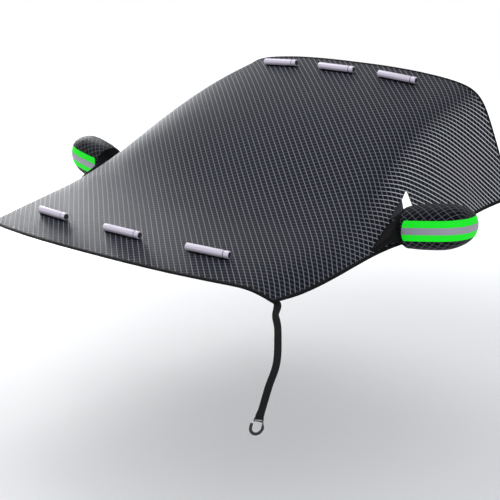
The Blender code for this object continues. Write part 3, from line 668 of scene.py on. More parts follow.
def painted_sheen_share(across, along):
    """How much of the flap's painted sheen the cloth's lines get at a place, from 0 to 1. It
    grows over the shoulder, and backwards along the flap in two steps, at the foot of the
    screen and beside the slit. Each is a straight rise between two distances in metres."""
    over, foot, slit = (
        np.clip((value - start) / (end - start), 0, 1) for value, start, end in (
            (np.abs(across) - drape_row(along)[3], -0.02, 0.07),
            (along, 0.40, 0.65), (along, 0.75, 1.05)))
    return over * (0.3 * foot + 0.7 * slit)


def mark_painted_sheen(piece, share):
    # stores the share of painted sheen in the mesh's flap attribute
    piece.data.attributes.new("flap", "FLOAT", "POINT").data.foreach_set("value", share.ravel())


along = np.linspace(0, COVER_LENGTH, SHEET_ROWS)[:, None]
across = np.linspace(-1, 1, SHEET_COLUMNS)[None, :] * half_width(along)
along = np.broadcast_to(along, across.shape)
upper, _ = on_cloth(across, along)
section = np.concatenate([upper, cloth(across, along)[:, ::-1]], axis=1)
places = flat_places(across, along)
places = np.concatenate([places, places[:, ::-1], places[:, :1]], axis=1)
is_lining = np.broadcast_to(np.arange(2 * SHEET_COLUMNS) >= SHEET_COLUMNS, section.shape[:2])
cover_sheet = new_piece("cover_cloth", section, places, [woven_polyester, lining],
                        slots=is_lining[:-1].ravel())
# the sheet's lines get the flap's painted sheen by this share
share = painted_sheen_share(across, along)
mark_painted_sheen(cover_sheet, np.concatenate([share, share[:, ::-1]], axis=1))
cutters = [slit_prism(side) for _, side in SIDES]
for cutter in cutters:
    cut = cover_sheet.modifiers.new("slit", "BOOLEAN")
    cut.solver = "EXACT"
    cut.object = cutter
slit_mesh = shown_mesh(cover_sheet)
cover_sheet.modifiers.clear()
cover_sheet.data = slit_mesh
for cutter in cutters:
    bpy.data.objects.remove(cutter)
print("sheet:", len(cover_sheet.data.polygons), "faces after the slits")

# %% [markdown]
# ## The binding
# A cut edge frays, so a tape is folded over it and stitched through. Here a folded
# section is carried once round the border. A distance inwards is simply a smaller sheet,
# so the corners come out mitred. The tape is slightly gathered between stitches.

# %% Binding
BINDING_WIDTH, TAPE_THICKNESS, BINDING_GAP = 0.012, 0.0012, 0.0006
TAPE_GATHER, TAPE_PUCKER, BORDER_STEP = 0.00022, 0.0072, 0.007


def border(inset, height):
    """Once round the sheet at a distance inside its edge and a height above its
    underside. Each side of the border has its own even steps."""
    wide = round(2 * half_width(0.0) / BORDER_STEP)
    long = round(COVER_LENGTH / BORDER_STEP)
    even = np.linspace(-1, 1, wide, endpoint=False), np.linspace(0, 1, long, endpoint=False)
    share = np.concatenate([even[0], np.ones(long), -even[0], -np.ones(long)])
    back = np.concatenate([np.zeros(wide), even[1], np.ones(wide), 1 - even[1]])
    along = inset + back * (COVER_LENGTH - 2 * inset)
    across = share * (half_width(along) - inset)
    normal, _, _ = directions(cloth, across, along)
    return cloth(across, along) + normal * np.asarray(height)[..., None]


edge_run = run(border(0.0, 0.0), closed=True)
gather = TAPE_GATHER * np.sin(2 * np.pi * edge_run[:-1] / TAPE_PUCKER) ** 2
middle, high, thick = CLOTH / 2, CLOTH + BINDING_GAP, TAPE_THICKNESS
# inset and height of the folded section's upper half: its outside, and then its inside
outside = [(BINDING_WIDTH, high + 0.4 * thick), (BINDING_WIDTH - 0.0008, high + thick),
           (BINDING_WIDTH / 2, high + 1.15 * thick), (0.0006, high + thick),
           (-0.0016, high + 0.2 * thick)]
inside = [(-0.0005, CLOTH), (0.0020, high), (BINDING_WIDTH - 0.0004, high)]
below = [[(inset, CLOTH - height) for inset, height in half[::-1]] for half in (outside, inside)]
fold = [*outside, (-0.0024, middle), *below[0], *below[1], (-0.0008, middle), *inside]
# the gathers lift the outside of the tape, its first eleven points, save where it folds
rings = []
for i, (inset, height) in enumerate(fold):
    lift = gather * np.sign(height - middle) if i < 11 and i != 5 else 0.0
    rings.append(border(inset, height + lift))
edge_binding = new_piece("edge_binding_tape", np.stack(rings, axis=1),
                         grid(edge_run, run(np.array(fold), closed=True)), [binding_tape],
                         closed=True)
print("binding:", round(edge_run[-1], 2), "m of tape,", len(edge_binding.data.polygons), "faces")

# %% [markdown]
# ## The mirror covers
# Each is a rounded pocket: a box with powers of sine and cosine for its outline, which
# can be anything from a ball to a brick. Rays from inside the pocket find its surface,
# first round the mouth and then nearer and nearer to the tip, so the grid starts exactly
# at the gathered mouth. The inside is the same pocket, one cloth smaller.

# %% Pocket shape
BAG_HALF_LENGTH, BAG_HALF_DEPTH, BAG_HALF_HEIGHT, BAG_INNER_LENGTH = 0.142, 0.091, 0.095, 0.235
BAG_CENTRE = np.array([1.000, 0.420, -0.009])
BAG_SWEEP, BAG_RISE = 0.20, 0.12
PLAN_POWER, HEIGHT_POWER = 0.75, 0.82
BAG_WALL, SEAT_GAP, ELASTIC_RADIUS = 0.0025, 0.0003, 0.0025
MOUTH_INSET, MOUTH_TILT = 0.122, math.radians(9)
MOUTH_NORMAL = np.array([math.cos(MOUTH_TILT), 0.0, math.sin(MOUTH_TILT)])
MOUTH_MIDDLE = BAG_CENTRE - MOUTH_INSET * np.array([1.0, BAG_SWEEP, BAG_RISE])


def powered(value, power):
    return np.sign(value) * np.abs(value) ** power


def pocket_surface(plan, height, standoff=0.0):
    """Rounded box: cosine and sine of the plan angle raised to the plan power, and of
    the height angle raised to the height power, times the half sizes. Moved outwards
    by standoff along the normal."""
    plan, height, standoff = np.broadcast_arrays(plan, height, standoff)
    cos_plan, sin_plan = np.cos(plan), np.sin(plan)
    cos_up, sin_up = np.cos(height), np.sin(height)
    waist, belly = powered(cos_up, HEIGHT_POWER), powered(cos_up, 2 - HEIGHT_POWER)
    length = np.where(cos_plan < 0, BAG_INNER_LENGTH, BAG_HALF_LENGTH)
    x = powered(cos_plan, PLAN_POWER) * waist * length
    y = powered(sin_plan, PLAN_POWER) * waist * BAG_HALF_DEPTH + BAG_SWEEP * x
    z = powered(sin_up, HEIGHT_POWER) * BAG_HALF_HEIGHT + BAG_RISE * x
    out_y = powered(sin_plan, 2 - PLAN_POWER) * belly / BAG_HALF_DEPTH
    out_z = powered(sin_up, 2 - HEIGHT_POWER) / BAG_HALF_HEIGHT
    out_x = powered(cos_plan, 2 - PLAN_POWER) * belly / length
    out_x = out_x - BAG_SWEEP * out_y - BAG_RISE * out_z
    outward = unit(np.stack([out_x, out_y, out_z], axis=-1))
    return np.stack([x, y, z], axis=-1) + outward * standoff[..., None] + BAG_CENTRE


def pocket_fill(points):
    """Below 1 inside the rounded box, 1 on its surface."""
    x, y, z = np.moveaxis(points - BAG_CENTRE, -1, 0)
    length = np.where(x < 0, BAG_INNER_LENGTH, BAG_HALF_LENGTH)
    share_x, share_y = np.abs(x / length), np.abs((y - BAG_SWEEP * x) / BAG_HALF_DEPTH)
    plan = share_x ** (2 / PLAN_POWER) + share_y ** (2 / PLAN_POWER)
    up = np.abs((z - BAG_RISE * x) / BAG_HALF_HEIGHT) ** (2 / HEIGHT_POWER)
    return plan ** (PLAN_POWER / HEIGHT_POWER) + up


def pocket_hit(start, rays):
    """Where rays from a point inside meet the pocket, by halving the reach 40 times."""
    low, high = np.zeros(rays.shape[:-1]), np.full(rays.shape[:-1], 2 * BAG_INNER_LENGTH)
    for _ in range(40):
        reach = (low + high) / 2
        inside = pocket_fill(start + rays * reach[..., None]) < 1
        low, high = np.where(inside, reach, low), np.where(inside, high, reach)
    return low


def mouth_loop(angles, shift, inset):
    """Points round the mouth, in a plane moved outwards by shift, drawn in by inset."""
    middle = MOUTH_MIDDLE + MOUTH_NORMAL * shift
    rear = np.array([0.0, 1.0, 0.0])
    rays = np.outer(np.cos(angles), rear) + np.outer(np.sin(angles), np.cross(MOUTH_NORMAL, rear))
    return middle + rays * (pocket_hit(middle, rays) - inset)[:, None]


print("mouth, mm:", np.ptp(mouth_loop(np.linspace(0, 6.28, 60), 0, 0), axis=0).round(3) * 1000)

# %% [markdown]
# The cloth is gathered onto elastic at the mouth. Gathers are small waves round the
# mouth, deepest at the elastic and gone a few centimetres away. They only go inwards, so
# that the tapes and the elastic still lie clear of the cloth.

# %% Mirror covers
POCKET_COLUMNS, POCKET_ROWS = 180, 72
GATHERS, GATHER_DEPTH, GATHER_LENGTH = 30, 0.0022, 0.016


def pocket_cloth(inset):
    """Rows from the mouth to the tip: the first row is the mouth, the last is a small
    ring at the tip, and the rays between turn evenly from one to the other."""
    angles = np.linspace(0, 2 * np.pi, POCKET_COLUMNS, endpoint=False)
    mouth = mouth_loop(angles, ELASTIC_RADIUS + 2 * SEAT_GAP, 0.0)
    heading = unit(np.array([1.0, BAG_SWEEP, BAG_RISE]))
    first = unit(mouth - BAG_CENTRE)
    level = unit(first - (first @ heading)[:, None] * heading)
    opening = np.arccos(first @ heading)
    turn = np.linspace(1, 0.02, POCKET_ROWS)[:, None] * opening
    rays = np.cos(turn)[..., None] * heading + np.sin(turn)[..., None] * level
    reach = pocket_hit(BAG_CENTRE, rays)
    surface = BAG_CENTRE + rays * reach[..., None]
    away = np.linalg.norm(surface - surface[:1], axis=-1)
    wave = np.sin(GATHERS / 2 * angles + 1.3 * np.sin(2 * angles)) ** 2
    depth = GATHER_DEPTH * wave * np.exp(-away / GATHER_LENGTH)
    points = BAG_CENTRE + rays * (reach - inset - depth)[..., None]
    return points, angles


outer, angles = pocket_cloth(0.0)
inner, _ = pocket_cloth(BAG_WALL)
points = np.concatenate([outer[::-1], inner])
girth = np.r_[angles, 2 * np.pi] * (BAG_HALF_DEPTH + BAG_HALF_HEIGHT) / 2
outwards = np.concatenate([points[..., 0], points[:, :1, 0]], axis=1)
places = np.stack([outwards, np.broadcast_to(girth, outwards.shape)], axis=-1)
# the pocket's dips are painted only a little darker than its raised yarn, as painted shade
pocket_finish = cover_cloth_finish("woven_polyester_pocket", 0.0016, 0.0016, (0.17, 0.17),
                                   (0.17, 0.17), "#0B0C10")
mirror_covers = both_sides("mirror_cover_cloth", points, places, pocket_finish)
# the mirror covers get the full share of painted sheen, though the pocket's strengths are the
# same on top and flap
for cover in mirror_covers.values():
    mark_painted_sheen(cover, np.ones(len(cover.data.vertices)))
print("mirror cover:", len(cover.data.polygons), "faces")

# %% [markdown]
# ## The mouth elastic
# Elastic in a knitted sleeve looks ribbed, because the sleeve bunches up when the rubber
# is slack. The tube's radius rises and falls along its length.

# %% Elastic
ELASTIC_POINTS, RIB = 420, 0.0055


def tube(centre, radius, count, material, name, normal):
    """A closed tube round a closed line, with a radius for each point of the line. Its
    section lies in the plane of the given normal and of the line's outward side."""
    ahead = unit(np.roll(centre, -1, axis=0) - np.roll(centre, 1, axis=0))
    outward = unit(np.cross(ahead, normal))
    upward = np.cross(outward, ahead)
    turn = np.arange(count)[None, :, None] * 2 * np.pi / count
    spread = outward[:, None] * np.cos(turn) + upward[:, None] * np.sin(turn)
    points = centre[:, None] + spread * np.broadcast_to(radius, len(centre))[:, None, None]
    girth = np.linspace(0, 2 * np.pi * float(np.mean(radius)), count + 1)
    return new_piece(name, points, grid(run(centre, True), girth), [material], closed=True)


angles = np.linspace(0, 2 * np.pi, ELASTIC_POINTS, endpoint=False)
loop = mouth_loop(angles, 0.0, BAG_WALL / 2)
ribs = run(loop, True)
ribs = np.round(ribs[-1] / RIB) * ribs[:-1] / ribs[-1]
radius = ELASTIC_RADIUS * (0.82 + 0.18 * np.abs(np.sin(np.pi * ribs)))
elastics = {name: tube(mirrored(loop, side), radius, 12, covered_elastic,
                       f"mouth_elastic_ribbed_{name}", mirrored(MOUTH_NORMAL, side))
            for name, side in SIDES}
print("ribs round the mouth:", int(ribs[-1]) + 1)

# %% [markdown]
# ## The gussets
# A sleeve of plain cloth joins each slit to its mirror cover. Its foot is sewn to the
# flap and its neck to the elastic, so it hangs in folds between them. A smooth curve
# through four rings gives the sleeve, and waves along it give the folds.

# %% Gussets
# places across and along of the foot, and degrees round the mouth of the neck
GUSSET_FOOT = np.array([
    (0.893, 0.938, 90), (0.888, 0.870, 116), (0.872, 0.816, 140), (0.880, 0.715, 163),
    (0.901, 0.612, 186), (0.918, 0.665, 209), (0.934, 0.760, 232), (0.948, 0.850, 256),
    (0.962, 0.930, 290), (0.956, 0.990, 340), (0.925, 0.985, 400),
])
GUSSET_WALL, GUSSET_SWELL, GUSSET_CLIMB = 0.0015, 0.1, 0.12
FOLD_DEPTH, FOLD_FULL_AT, GUSSET_ROWS, GUSSET_COLUMNS = 0.0035, 0.10, 26, 200
SEAM_HEIGHT, SEAM_OUTSET, SEAM_RADIUS = 0.0012, 0.0022, 0.0016


def gusset_foot(count):
    """Even places round the smooth closed curve through the foot's corners, taken from
    the second of four laps, and the angles round the mouth that they are sewn up to."""
    laps = [GUSSET_FOOT + (0, 0, 360 * lap) for lap in range(4)]
    knots = np.arange(4 * len(GUSSET_FOOT)) / len(GUSSET_FOOT)
    places = 1 + np.arange(count) / count
    across, along, turn = natural_spline(places, knots, np.concatenate(laps)).T
    return across, along, np.radians(turn)


across, along, turn = gusset_foot(GUSSET_COLUMNS)
foot, normal = on_cloth(across, along, 2 * SEAT_GAP + GUSSET_WALL / 2)
neck = mouth_loop(turn, -ELASTIC_RADIUS - 2 * SEAT_GAP - GUSSET_WALL / 2, BAG_WALL / 2)
rise = neck - foot
swell = normal * GUSSET_SWELL * np.linalg.norm(rise, axis=1)[:, None]
rings = np.stack([foot, foot + rise / 3 + swell, foot + 2 * rise / 3 + swell, neck])
height = np.linspace(0, 1, GUSSET_ROWS)
sleeve = natural_spline(height, np.linspace(0, 1, 4), rings.reshape(4, -1))
sleeve = sleeve.reshape(GUSSET_ROWS, GUSSET_COLUMNS, 3)
round_it = unit(np.roll(sleeve, -1, axis=1) - np.roll(sleeve, 1, axis=1))
up_it = unit(np.gradient(sleeve, axis=0))
outward = unit(np.cross(up_it, round_it))
outward = outward * np.sign(np.sum(outward[5] * (sleeve[5] - sleeve[5].mean(axis=0))))
lap = np.arange(GUSSET_COLUMNS) * 2 * np.pi / GUSSET_COLUMNS
window = np.sin(np.pi * height)[:, None] ** 1.5
folds = np.sin(7 * lap + 2.2 * np.sin(lap) + 1.5 * height[:, None]) + 0.5 * np.sin(16 * lap + 1.0)
size = np.minimum(1, np.linalg.norm(rise, axis=1) / FOLD_FULL_AT)
sleeve = sleeve - outward * (FOLD_DEPTH * window * size * (1 + folds) / 2)[..., None]
half = outward * GUSSET_WALL / 2
points = np.concatenate([sleeve + half, (sleeve - half)[::-1]])
climb = np.concatenate([height, height[::-1], height[:1]]) * GUSSET_CLIMB
places = grid(climb, run(sleeve[0], True))
gussets = both_sides("mirror_gusset_cloth", points, places, plain_polyester, closed=True)
seam, seam_normal = on_cloth(across, along, SEAM_HEIGHT)
seam = seam + unit(seam - seam.mean(axis=0)) * SEAM_OUTSET
seams = {name: tube(mirrored(seam, side), SEAM_RADIUS, 8, plain_polyester,
                    f"gusset_seam_{name}", mirrored(seam_normal, side)) for name, side in SIDES}
rise = np.linalg.norm(rise, axis=1) * 1000
print("gusset height, mm:", rise.min().round(), "to", rise.max().round())

# %% [markdown]
# ## Facings and tapes
# The facing is a folded strip beside each slit, with a soft ridge down its middle. The
# band round each mirror cover is a wide green tape with a narrow grey one on it. All of
# them are thin skins whose rows run up one side and down the other.

# %% Facings and tapes
FACING_CORNERS = ((0.838, 0.984), (0.881, 0.943), (0.874, 0.866), (0.856, 0.832))
FACING_THICKNESS, FACING_RIDGE, FACING_TIP = 0.0015, 0.0030, 0.004
TAPE_STANDOFF, GREEN_TAPE, GREY_TAPE = 0.0009, 0.0010, 0.0008
GREEN_HALF_HEIGHT, GREY_HALF_HEIGHT = 0.0425, 0.0145
TAPE_HALF_SWEEP, COCKLE, COCKLE_ROOM = math.radians(112), 0.00012, 0.0001

top, right, foot_right, foot_left = (np.array(corner) for corner in FACING_CORNERS)
down = np.linspace(0, 1, 40)[:, None, None]
over = np.linspace(0, 1, 24)[None, :, None]
left_edge = top + (foot_left - top) * down
right_edge = top + FACING_TIP + (right - top) * np.minimum(1, 2 * down)
right_edge = right_edge + (foot_right - right) * np.maximum(0, 2 * down - 1)
spots = left_edge + (right_edge - left_edge) * over
ridge = np.sin(np.pi * over) ** 2 * np.sin(np.pi * (0.1 + 0.8 * down))
ridge = FACING_RIDGE * ridge[..., 0]
lower, _ = on_cloth(spots[..., 0], spots[..., 1], 2 * SEAT_GAP)
upper, _ = on_cloth(spots[..., 0], spots[..., 1], 2 * SEAT_GAP + FACING_THICKNESS + ridge)
facings = both_sides("slit_facing_folded", *leaf(upper, lower), coated_polyester)


def tape_band(half_height, standoff, thickness):
    """A strip round the front, the end and the back of the pocket, level with its
    middle. Its edges lie down, and its face is very slightly cockled."""
    plan = np.linspace(-TAPE_HALF_SWEEP, TAPE_HALF_SWEEP, 150)[:, None]
    share = np.linspace(-1, 1, 13)[None, :]
    height = np.arcsin(powered(share * half_height / BAG_HALF_HEIGHT, 1 / HEIGHT_POWER))
    cockle = COCKLE * (1 + np.sin(23 * plan + 1.2 * np.sin(9 * plan))) * (1 - share**4)
    return leaf(pocket_surface(plan, height, standoff + thickness + cockle),
                pocket_surface(plan, height, standoff))


# the green tape is a little thinner here than its solid, to leave room for its cockles
green_band = tape_band(GREEN_HALF_HEIGHT, TAPE_STANDOFF, GREEN_TAPE - COCKLE_ROOM)
grey_band = tape_band(GREY_HALF_HEIGHT, TAPE_STANDOFF + GREEN_TAPE + 2 * SEAT_GAP, GREY_TAPE)
green_tapes = both_sides("green_tape_band", *green_band, green_tape)
grey_tapes = both_sides("grey_tape_band", *grey_band, grey_tape)
print("tape length round a pocket, m:", round(float(grey_band[1][-1, 0, 1]), 3))

# %% [markdown]
# ## Rod magnets and pads
# A rod is a turned shape: each row is a circle, whose radius follows the rod's outline,
# with rounded ends and one narrow groove. A pad is a padded strip with a trough for the
# rod, stitched to the cloth, so its ends are drawn down.

# %% Magnets
MAGNET_LENGTH, MAGNET_RADIUS, MAGNET_ROUND, MAGNET_TIP = 0.200, 0.0155, 0.0032, 0.002
GROOVE_AT, GROOVE_WIDTH, GROOVE_DEPTH, GROOVE_LIP = 0.026, 0.003, 0.0012, 0.0004
PAD_LENGTH, PAD_HALF_WIDTH, PAD_FLOOR, PAD_WRAP = 0.190, 0.013, 0.0015, math.radians(50)
PAD_LIP, PAD_SQUARENESS, PAD_LOWEST = (0.0016, 0.0008), 24, 0.25
ROD_COLUMNS, PAD_ROWS = 64, 60
MAGNETS = [(row, column, spacing * step, along)
           for row, along, spacing in (("front", 0.190, 0.447), ("roof", 1.742, 0.340))
           for column, step in (("right", -1), ("middle", 0), ("left", 1))]


def lay_down(points, across, along, height):
    """Moves points from a piece's own axes to the cloth: Y away from the cloth, Z
    sideways along it, and X at right angles to both."""
    normal, side, _ = directions(taut_cloth, across, along, 0.001)
    turn = np.stack([np.cross(normal, side), normal, side])
    return taut_cloth(across, along) + normal * height + points @ turn


def rod_outline():
    """Radius and place along the rod, from one end to the other: a quarter circle at
    each end, and a groove with slightly rounded lips."""
    bend = np.linspace(np.pi / 2, 0, 9)
    end = MAGNET_LENGTH / 2 - MAGNET_ROUND * (1 - np.sin(bend))
    face = MAGNET_RADIUS - MAGNET_ROUND * (1 - np.cos(bend))
    middle, half = MAGNET_LENGTH / 2 - GROOVE_AT + GROOVE_WIDTH / 2, GROOVE_WIDTH / 2
    lip, soft = GROOVE_LIP, GROOVE_LIP / 4
    groove = np.array([(0, half + lip), (soft, half + soft), (GROOVE_DEPTH, half),
                       (GROOVE_DEPTH, -half), (soft, -half - soft), (0, -half - lip)])
    groove = groove * (-1, 1) + (MAGNET_RADIUS, middle)
    first = np.stack([face, end], axis=1)
    tips = np.array([(MAGNET_TIP, end[0])])
    return np.concatenate([tips, first, groove, first[::-1] * (1, -1), tips * (1, -1)])


outline = rod_outline()
turn = np.arange(ROD_COLUMNS) * 2 * np.pi / ROD_COLUMNS
rod = np.stack([outline[:, :1] * np.cos(turn), outline[:, :1] * np.sin(turn),
                np.broadcast_to(outline[:, 1:], (len(outline), ROD_COLUMNS))], axis=-1)
places = grid(outline[:, 1], np.linspace(0, 2 * np.pi * MAGNET_RADIUS, ROD_COLUMNS + 1))
magnet_height = CLOTH + 2 * SEAT_GAP + PAD_FLOOR + MAGNET_RADIUS
# painted shade faces: both ends, the groove in rows 11 to 13, and the strips that fill the ends,
# which get the dark painted shade
painted_shade_faces = np.zeros((len(outline) - 1, ROD_COLUMNS), int)
painted_shade_faces[[0, 11, 12, 13, -1]] = 1
painted_shade_faces = np.concatenate([painted_shade_faces.ravel(), np.ones(ROD_COLUMNS - 2, int)])
magnets = {(row, column): new_piece(f"rod_magnet_{row}_{column}",
                                    lay_down(rod, across, along, magnet_height), places,
                                    [satin_plate, rod_end_painted_shade], slots=painted_shade_faces)
           for row, column, across, along in MAGNETS}
print("rod:", rod.shape[0], "rings of", rod.shape[1])

# %% Pads
hollow = MAGNET_RADIUS + 1.5 * SEAT_GAP
axis_height = magnet_height - CLOTH - SEAT_GAP
wrap = PAD_WRAP * np.linspace(0, 1, 12)
trough = np.stack([hollow * np.sin(wrap), axis_height - hollow * np.cos(wrap)], axis=1)
pad_edge = max(PAD_HALF_WIDTH, trough[-1, 0] + PAD_FLOOR)
way = np.linspace(0, 1, 8)[1:-1, None]
lip = trough[-1] + ((pad_edge, 0.0) - trough[-1]) * way + np.sin(np.pi * way) * PAD_LIP
half_top = np.concatenate([trough, lip])
pad_top = np.concatenate([half_top[:0:-1] * (-1, 1), half_top])
pad_foot = np.stack([pad_edge * np.linspace(-1, 1, len(pad_top)), np.zeros(len(pad_top))], axis=1)
station = np.linspace(-1, 1, PAD_ROWS)[:, None]
drawn = np.clip(1 - np.abs(station) ** PAD_SQUARENESS, PAD_LOWEST, 1)


def pad_face(line):
    """A line across the pad carried along it, narrower and lower at both ends."""
    length = np.broadcast_to(station * PAD_LENGTH / 2, (PAD_ROWS, len(line)))
    return np.stack([line[:, 0] * drawn**0.3, line[:, 1] * drawn, length], axis=-1)


pad, places = leaf(pad_face(pad_top), pad_face(pad_foot))
pads = {(row, column): new_piece(f"magnet_pad_sewn_{row}_{column}",
                                 lay_down(pad, across, along, CLOTH + SEAT_GAP), places,
                                 [plain_polyester])
        for row, column, across, along in MAGNETS}
print("pad:", round(2 * pad_edge * 1000), "mm wide")

# %% [markdown]
# ## Tie straps
# The strap hangs from under the hem at each front corner, goes through the hook's slot
# and comes back up behind itself, where it is sewn. It follows the same points as the
# solid strap. Its edges are a little thicker than its middle, as woven edges are.

# %% Straps
STRAP_WIDTH, STRAP_THICKNESS, STRAP_DEPTH, STRAP_BOW = 0.033, 0.002, 0.0038, 0.0012
STRAP_ALONG, STRAP_TUCK, STRAP_RETURN, STRAP_FACING = 0.024, 0.045, 0.030, math.radians(67)
STRAP_ROUTE = np.array([
    (0.842, -0.446, -0.184), (0.865, -0.466, -0.215), (0.888, -0.490, -0.255),
    (0.907, -0.515, -0.308), (0.916, -0.538, -0.355), (0.912, -0.566, -0.410),
    (0.904, -0.584, -0.469), (0.897, -0.598, -0.520), (0.894, -0.604, -0.544),
])
HOOK_THICKNESS, HOOK_BAR, HOOK_SLOT, HOOK_RIM = 0.004, 0.005, 0.006, 0.004
HOOK_SHANK, HOOK_REACH, HOOK_DROP, HOOK_TIP = 0.012, 0.032, 0.036, 0.016

under = float(half_width(STRAP_ALONG)) - np.array([STRAP_TUCK, STRAP_TUCK / 2, 0.002])
tuck_normal, _, _ = directions(taut_cloth, under, STRAP_ALONG, 0.001)
tuck = taut_cloth(under, STRAP_ALONG) - tuck_normal * STRAP_DEPTH
knots_at = np.concatenate([tuck, STRAP_ROUTE])
knots = run(knots_at)
spots = np.linspace(0, knots[-1], 150)
centre = natural_spline(spots, knots, knots_at)
outward = np.array([math.sin(STRAP_FACING), -math.cos(STRAP_FACING), 0.0])
settle = np.clip((spots - knots[2]) / STRAP_TUCK, 0, 1)[:, None]
facing = unit(tuck_normal[0] * (1 - settle) + outward * settle)
down = unit(centre[-1] - centre[-2])
hook_out = unit(outward - down * (outward @ down))
hook_side = np.cross(hook_out, down)
depth = HOOK_THICKNESS / 2 + SEAT_GAP + STRAP_THICKNESS / 2
bar = centre[-1] - hook_out * depth

turn = np.linspace(0, math.pi, 25)[1:, None]
low = HOOK_BAR / 2 + SEAT_GAP
fold = bar + hook_out * depth * np.cos(turn) + down * (low + depth * np.sin(turn) * 0.6)
back = np.linspace(0, 1, 14)[1:, None]
last = centre[-1] - down * STRAP_RETURN - hook_out * (STRAP_THICKNESS + 2 * SEAT_GAP)
rise_start = bar - hook_out * depth - down * HOOK_BAR
climb = rise_start + (last - rise_start) * back
climb = climb - hook_out * STRAP_BOW * np.sin(np.pi * np.minimum(1, back * 1.6)) * (1 - back)
entry = bar + hook_out * depth + down * low
strap_path = np.concatenate([centre, entry[None], fold, rise_start[None], climb])
ahead = unit(np.gradient(strap_path, axis=0))
wide = np.repeat(-hook_side[None], len(strap_path), axis=0)
wide[: len(centre)] = unit(np.cross(facing, ahead[: len(centre)]))
if wide[len(centre) - 1] @ wide[len(centre)] < 0:
    wide[len(centre):] *= -1
face_way = unit(np.cross(wide, ahead))[:, None]
share = np.linspace(-1, 1, 15)[:, None]
thickness = STRAP_THICKNESS / 2 * (0.86 + 0.14 * np.abs(share) ** 6)
thickness = thickness * np.clip(1.25 * (1 - share**16), 0.35, 1)
middle = strap_path[:, None] + wide[:, None] * share * STRAP_WIDTH / 2
points, places = leaf(middle + face_way * thickness, middle - face_way * thickness)
straps = both_sides("tie_strap_webbing", points, places, webbing)
print("strap length, m:", round(run(strap_path)[-1], 3))

# %% [markdown]
# ## Hooks
# Each hook is moulded nylon: a flat J with a slot for the strap. It is drawn as a flat
# curve with a hole, because a filled curve with a bevel gives an even rounded edge all
# round, also inside the slot. The bevel grows outwards, so the curve is drawn in first.

# %% Hooks
EDGE, CORNER_ROUND, SLOT_ROUND, HOOK_SHARP_FROM = 0.0011, 0.0035, 0.0012, math.radians(35)


def arc(middle, radius, start, end, steps):
    turn = np.linspace(start, end, steps)
    return np.stack([middle[0] + radius * np.cos(turn), middle[1] + radius * np.sin(turn)], 1)


def softened(outline, radius, steps=5):
    """Rounds each corner of an outline: the curve (1 - t)^2 a + 2 t (1 - t) b + t^2 c
    from a to c, one on each side of the corner b."""
    outline = np.asarray(outline, float)
    t = np.linspace(0, 1, steps)[None, :, None]
    ends = []
    for beside in (np.roll(outline, 1, axis=0), np.roll(outline, -1, axis=0)):
        away = np.linalg.norm(beside - outline, axis=1)[:, None]
        ends.append((outline + (beside - outline) * np.minimum(radius / away, 0.499))[:, None])
    rounded = (1 - t) ** 2 * ends[0] + 2 * t * (1 - t) * outline[:, None] + t**2 * ends[1]
    return rounded.reshape(-1, 2)


half, inner = STRAP_WIDTH / 2 + HOOK_RIM + SEAT_GAP, HOOK_REACH - HOOK_SHANK
top, foot = -HOOK_BAR / 2, HOOK_BAR / 2 + HOOK_SLOT + HOOK_RIM
hook_outline = np.concatenate([
    arc((0, HOOK_DROP), HOOK_REACH, 0, np.pi, 40),
    [(-HOOK_REACH, HOOK_DROP - HOOK_TIP), (-inner, HOOK_DROP - HOOK_TIP)],
    arc((0, HOOK_DROP), inner, np.pi, 0, 30),
    [(inner, foot + HOOK_RIM), (0.0, foot), (-half, foot)],
    [(-half, top), (half, top), (half, foot)],
])
slot_half, slot_end = STRAP_WIDTH / 2 + SEAT_GAP, HOOK_BAR / 2 + HOOK_SLOT
slot_outline = [(-slot_half, HOOK_BAR / 2), (slot_half, HOOK_BAR / 2),
                (slot_half, slot_end), (-slot_half, slot_end)]


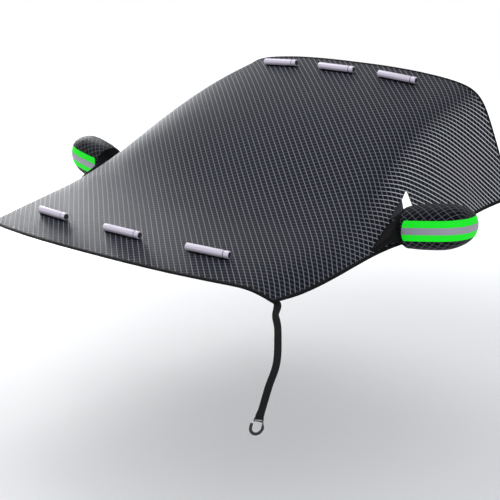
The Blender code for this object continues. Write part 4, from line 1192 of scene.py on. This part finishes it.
def hook_mesh():
    """The hook in its own plane: two outlines filled, thickened and bevelled."""
    curve = bpy.data.curves.new("hook", "CURVE")
    curve.dimensions = "2D"
    curve.fill_mode = "BOTH"
    curve.extrude = HOOK_THICKNESS / 2 - EDGE
    curve.bevel_depth = EDGE
    curve.bevel_resolution = 3
    curve.offset = -EDGE
    for outline, radius in ((hook_outline, CORNER_ROUND), (slot_outline, SLOT_ROUND)):
        outline = softened(outline, radius)
        spline = curve.splines.new("POLY")
        spline.points.add(len(outline) - 1)
        flat = np.pad(outline, ((0, 0), (0, 2)))
        flat[:, 3] = 1.0
        spline.points.foreach_set("co", flat.ravel())
        spline.use_cyclic_u = True
    drawn = new_object("hook", curve)
    bpy.context.view_layer.update()
    mesh = shown_mesh(drawn)
    bpy.data.objects.remove(drawn)
    return mesh


def place_hook(name, side):
    """A hook moved to its bar, by its own sideways, down and outward directions."""
    mesh = hook_mesh()
    flat = np.empty(len(mesh.vertices) * 3)
    mesh.vertices.foreach_get("co", flat)
    x, y, z = flat.reshape(-1, 3).T[..., None]
    points = mirrored(bar + hook_side * x + down * y + hook_out * z, side)
    mesh.vertices.foreach_set("co", points.ravel())
    mesh.materials.clear()
    mesh.materials.append(nylon)
    shape = bmesh.new()
    shape.from_mesh(mesh)
    bmesh.ops.remove_doubles(shape, verts=shape.verts, dist=2e-6)
    bmesh.ops.recalc_face_normals(shape, faces=shape.faces)
    if shape.calc_volume(signed=True) < 0:
        bmesh.ops.reverse_faces(shape, faces=shape.faces)
    shape.to_mesh(mesh)
    mesh.shade_smooth()
    mesh.set_sharp_from_angle(angle=HOOK_SHARP_FROM)
    return new_object(f"strap_hook_moulded_{name}", mesh)


hooks = {name: place_hook(name, side) for name, side in SIDES}
print("hook:", len(hooks["left"].data.polygons), "faces")

# %% [markdown]
# ## Joining the looks to the frame
# Each piece rides on the part's one body and takes the place of its plain solid.

# %% Ride and replace
def dress(piece, slot, *nodes):
    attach(piece, "root")
    if nodes:
        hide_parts(*nodes)


dress(cover_sheet, "quilted_cloth", "cover_sheet")
dress(edge_binding, "binding_tape", "edge_binding")
for name, side in SIDES:
    for pieces, slot, node in (
        (mirror_covers, "quilted_cloth", "mirror_cover"), (elastics, "elastic", "mouth_elastic"),
        (gussets, "plain_cloth", "mirror_gusset"), (facings, "plain_cloth", "slit_facing"),
        (green_tapes, "green_tape", "green_tape"), (grey_tapes, "grey_tape", "grey_tape"),
        (hooks, "nylon", "strap_hook"), (straps, "webbing", "tie_strap"),
    ):
        dress(pieces[name], slot, f"{node}_{name}")
    dress(seams[name], "plain_cloth")
for row, column, _, _ in MAGNETS:
    dress(magnets[row, column], "magnet", f"magnet_{row}_{column}")
    dress(pads[row, column], "plain_cloth", f"magnet_pad_{row}_{column}")
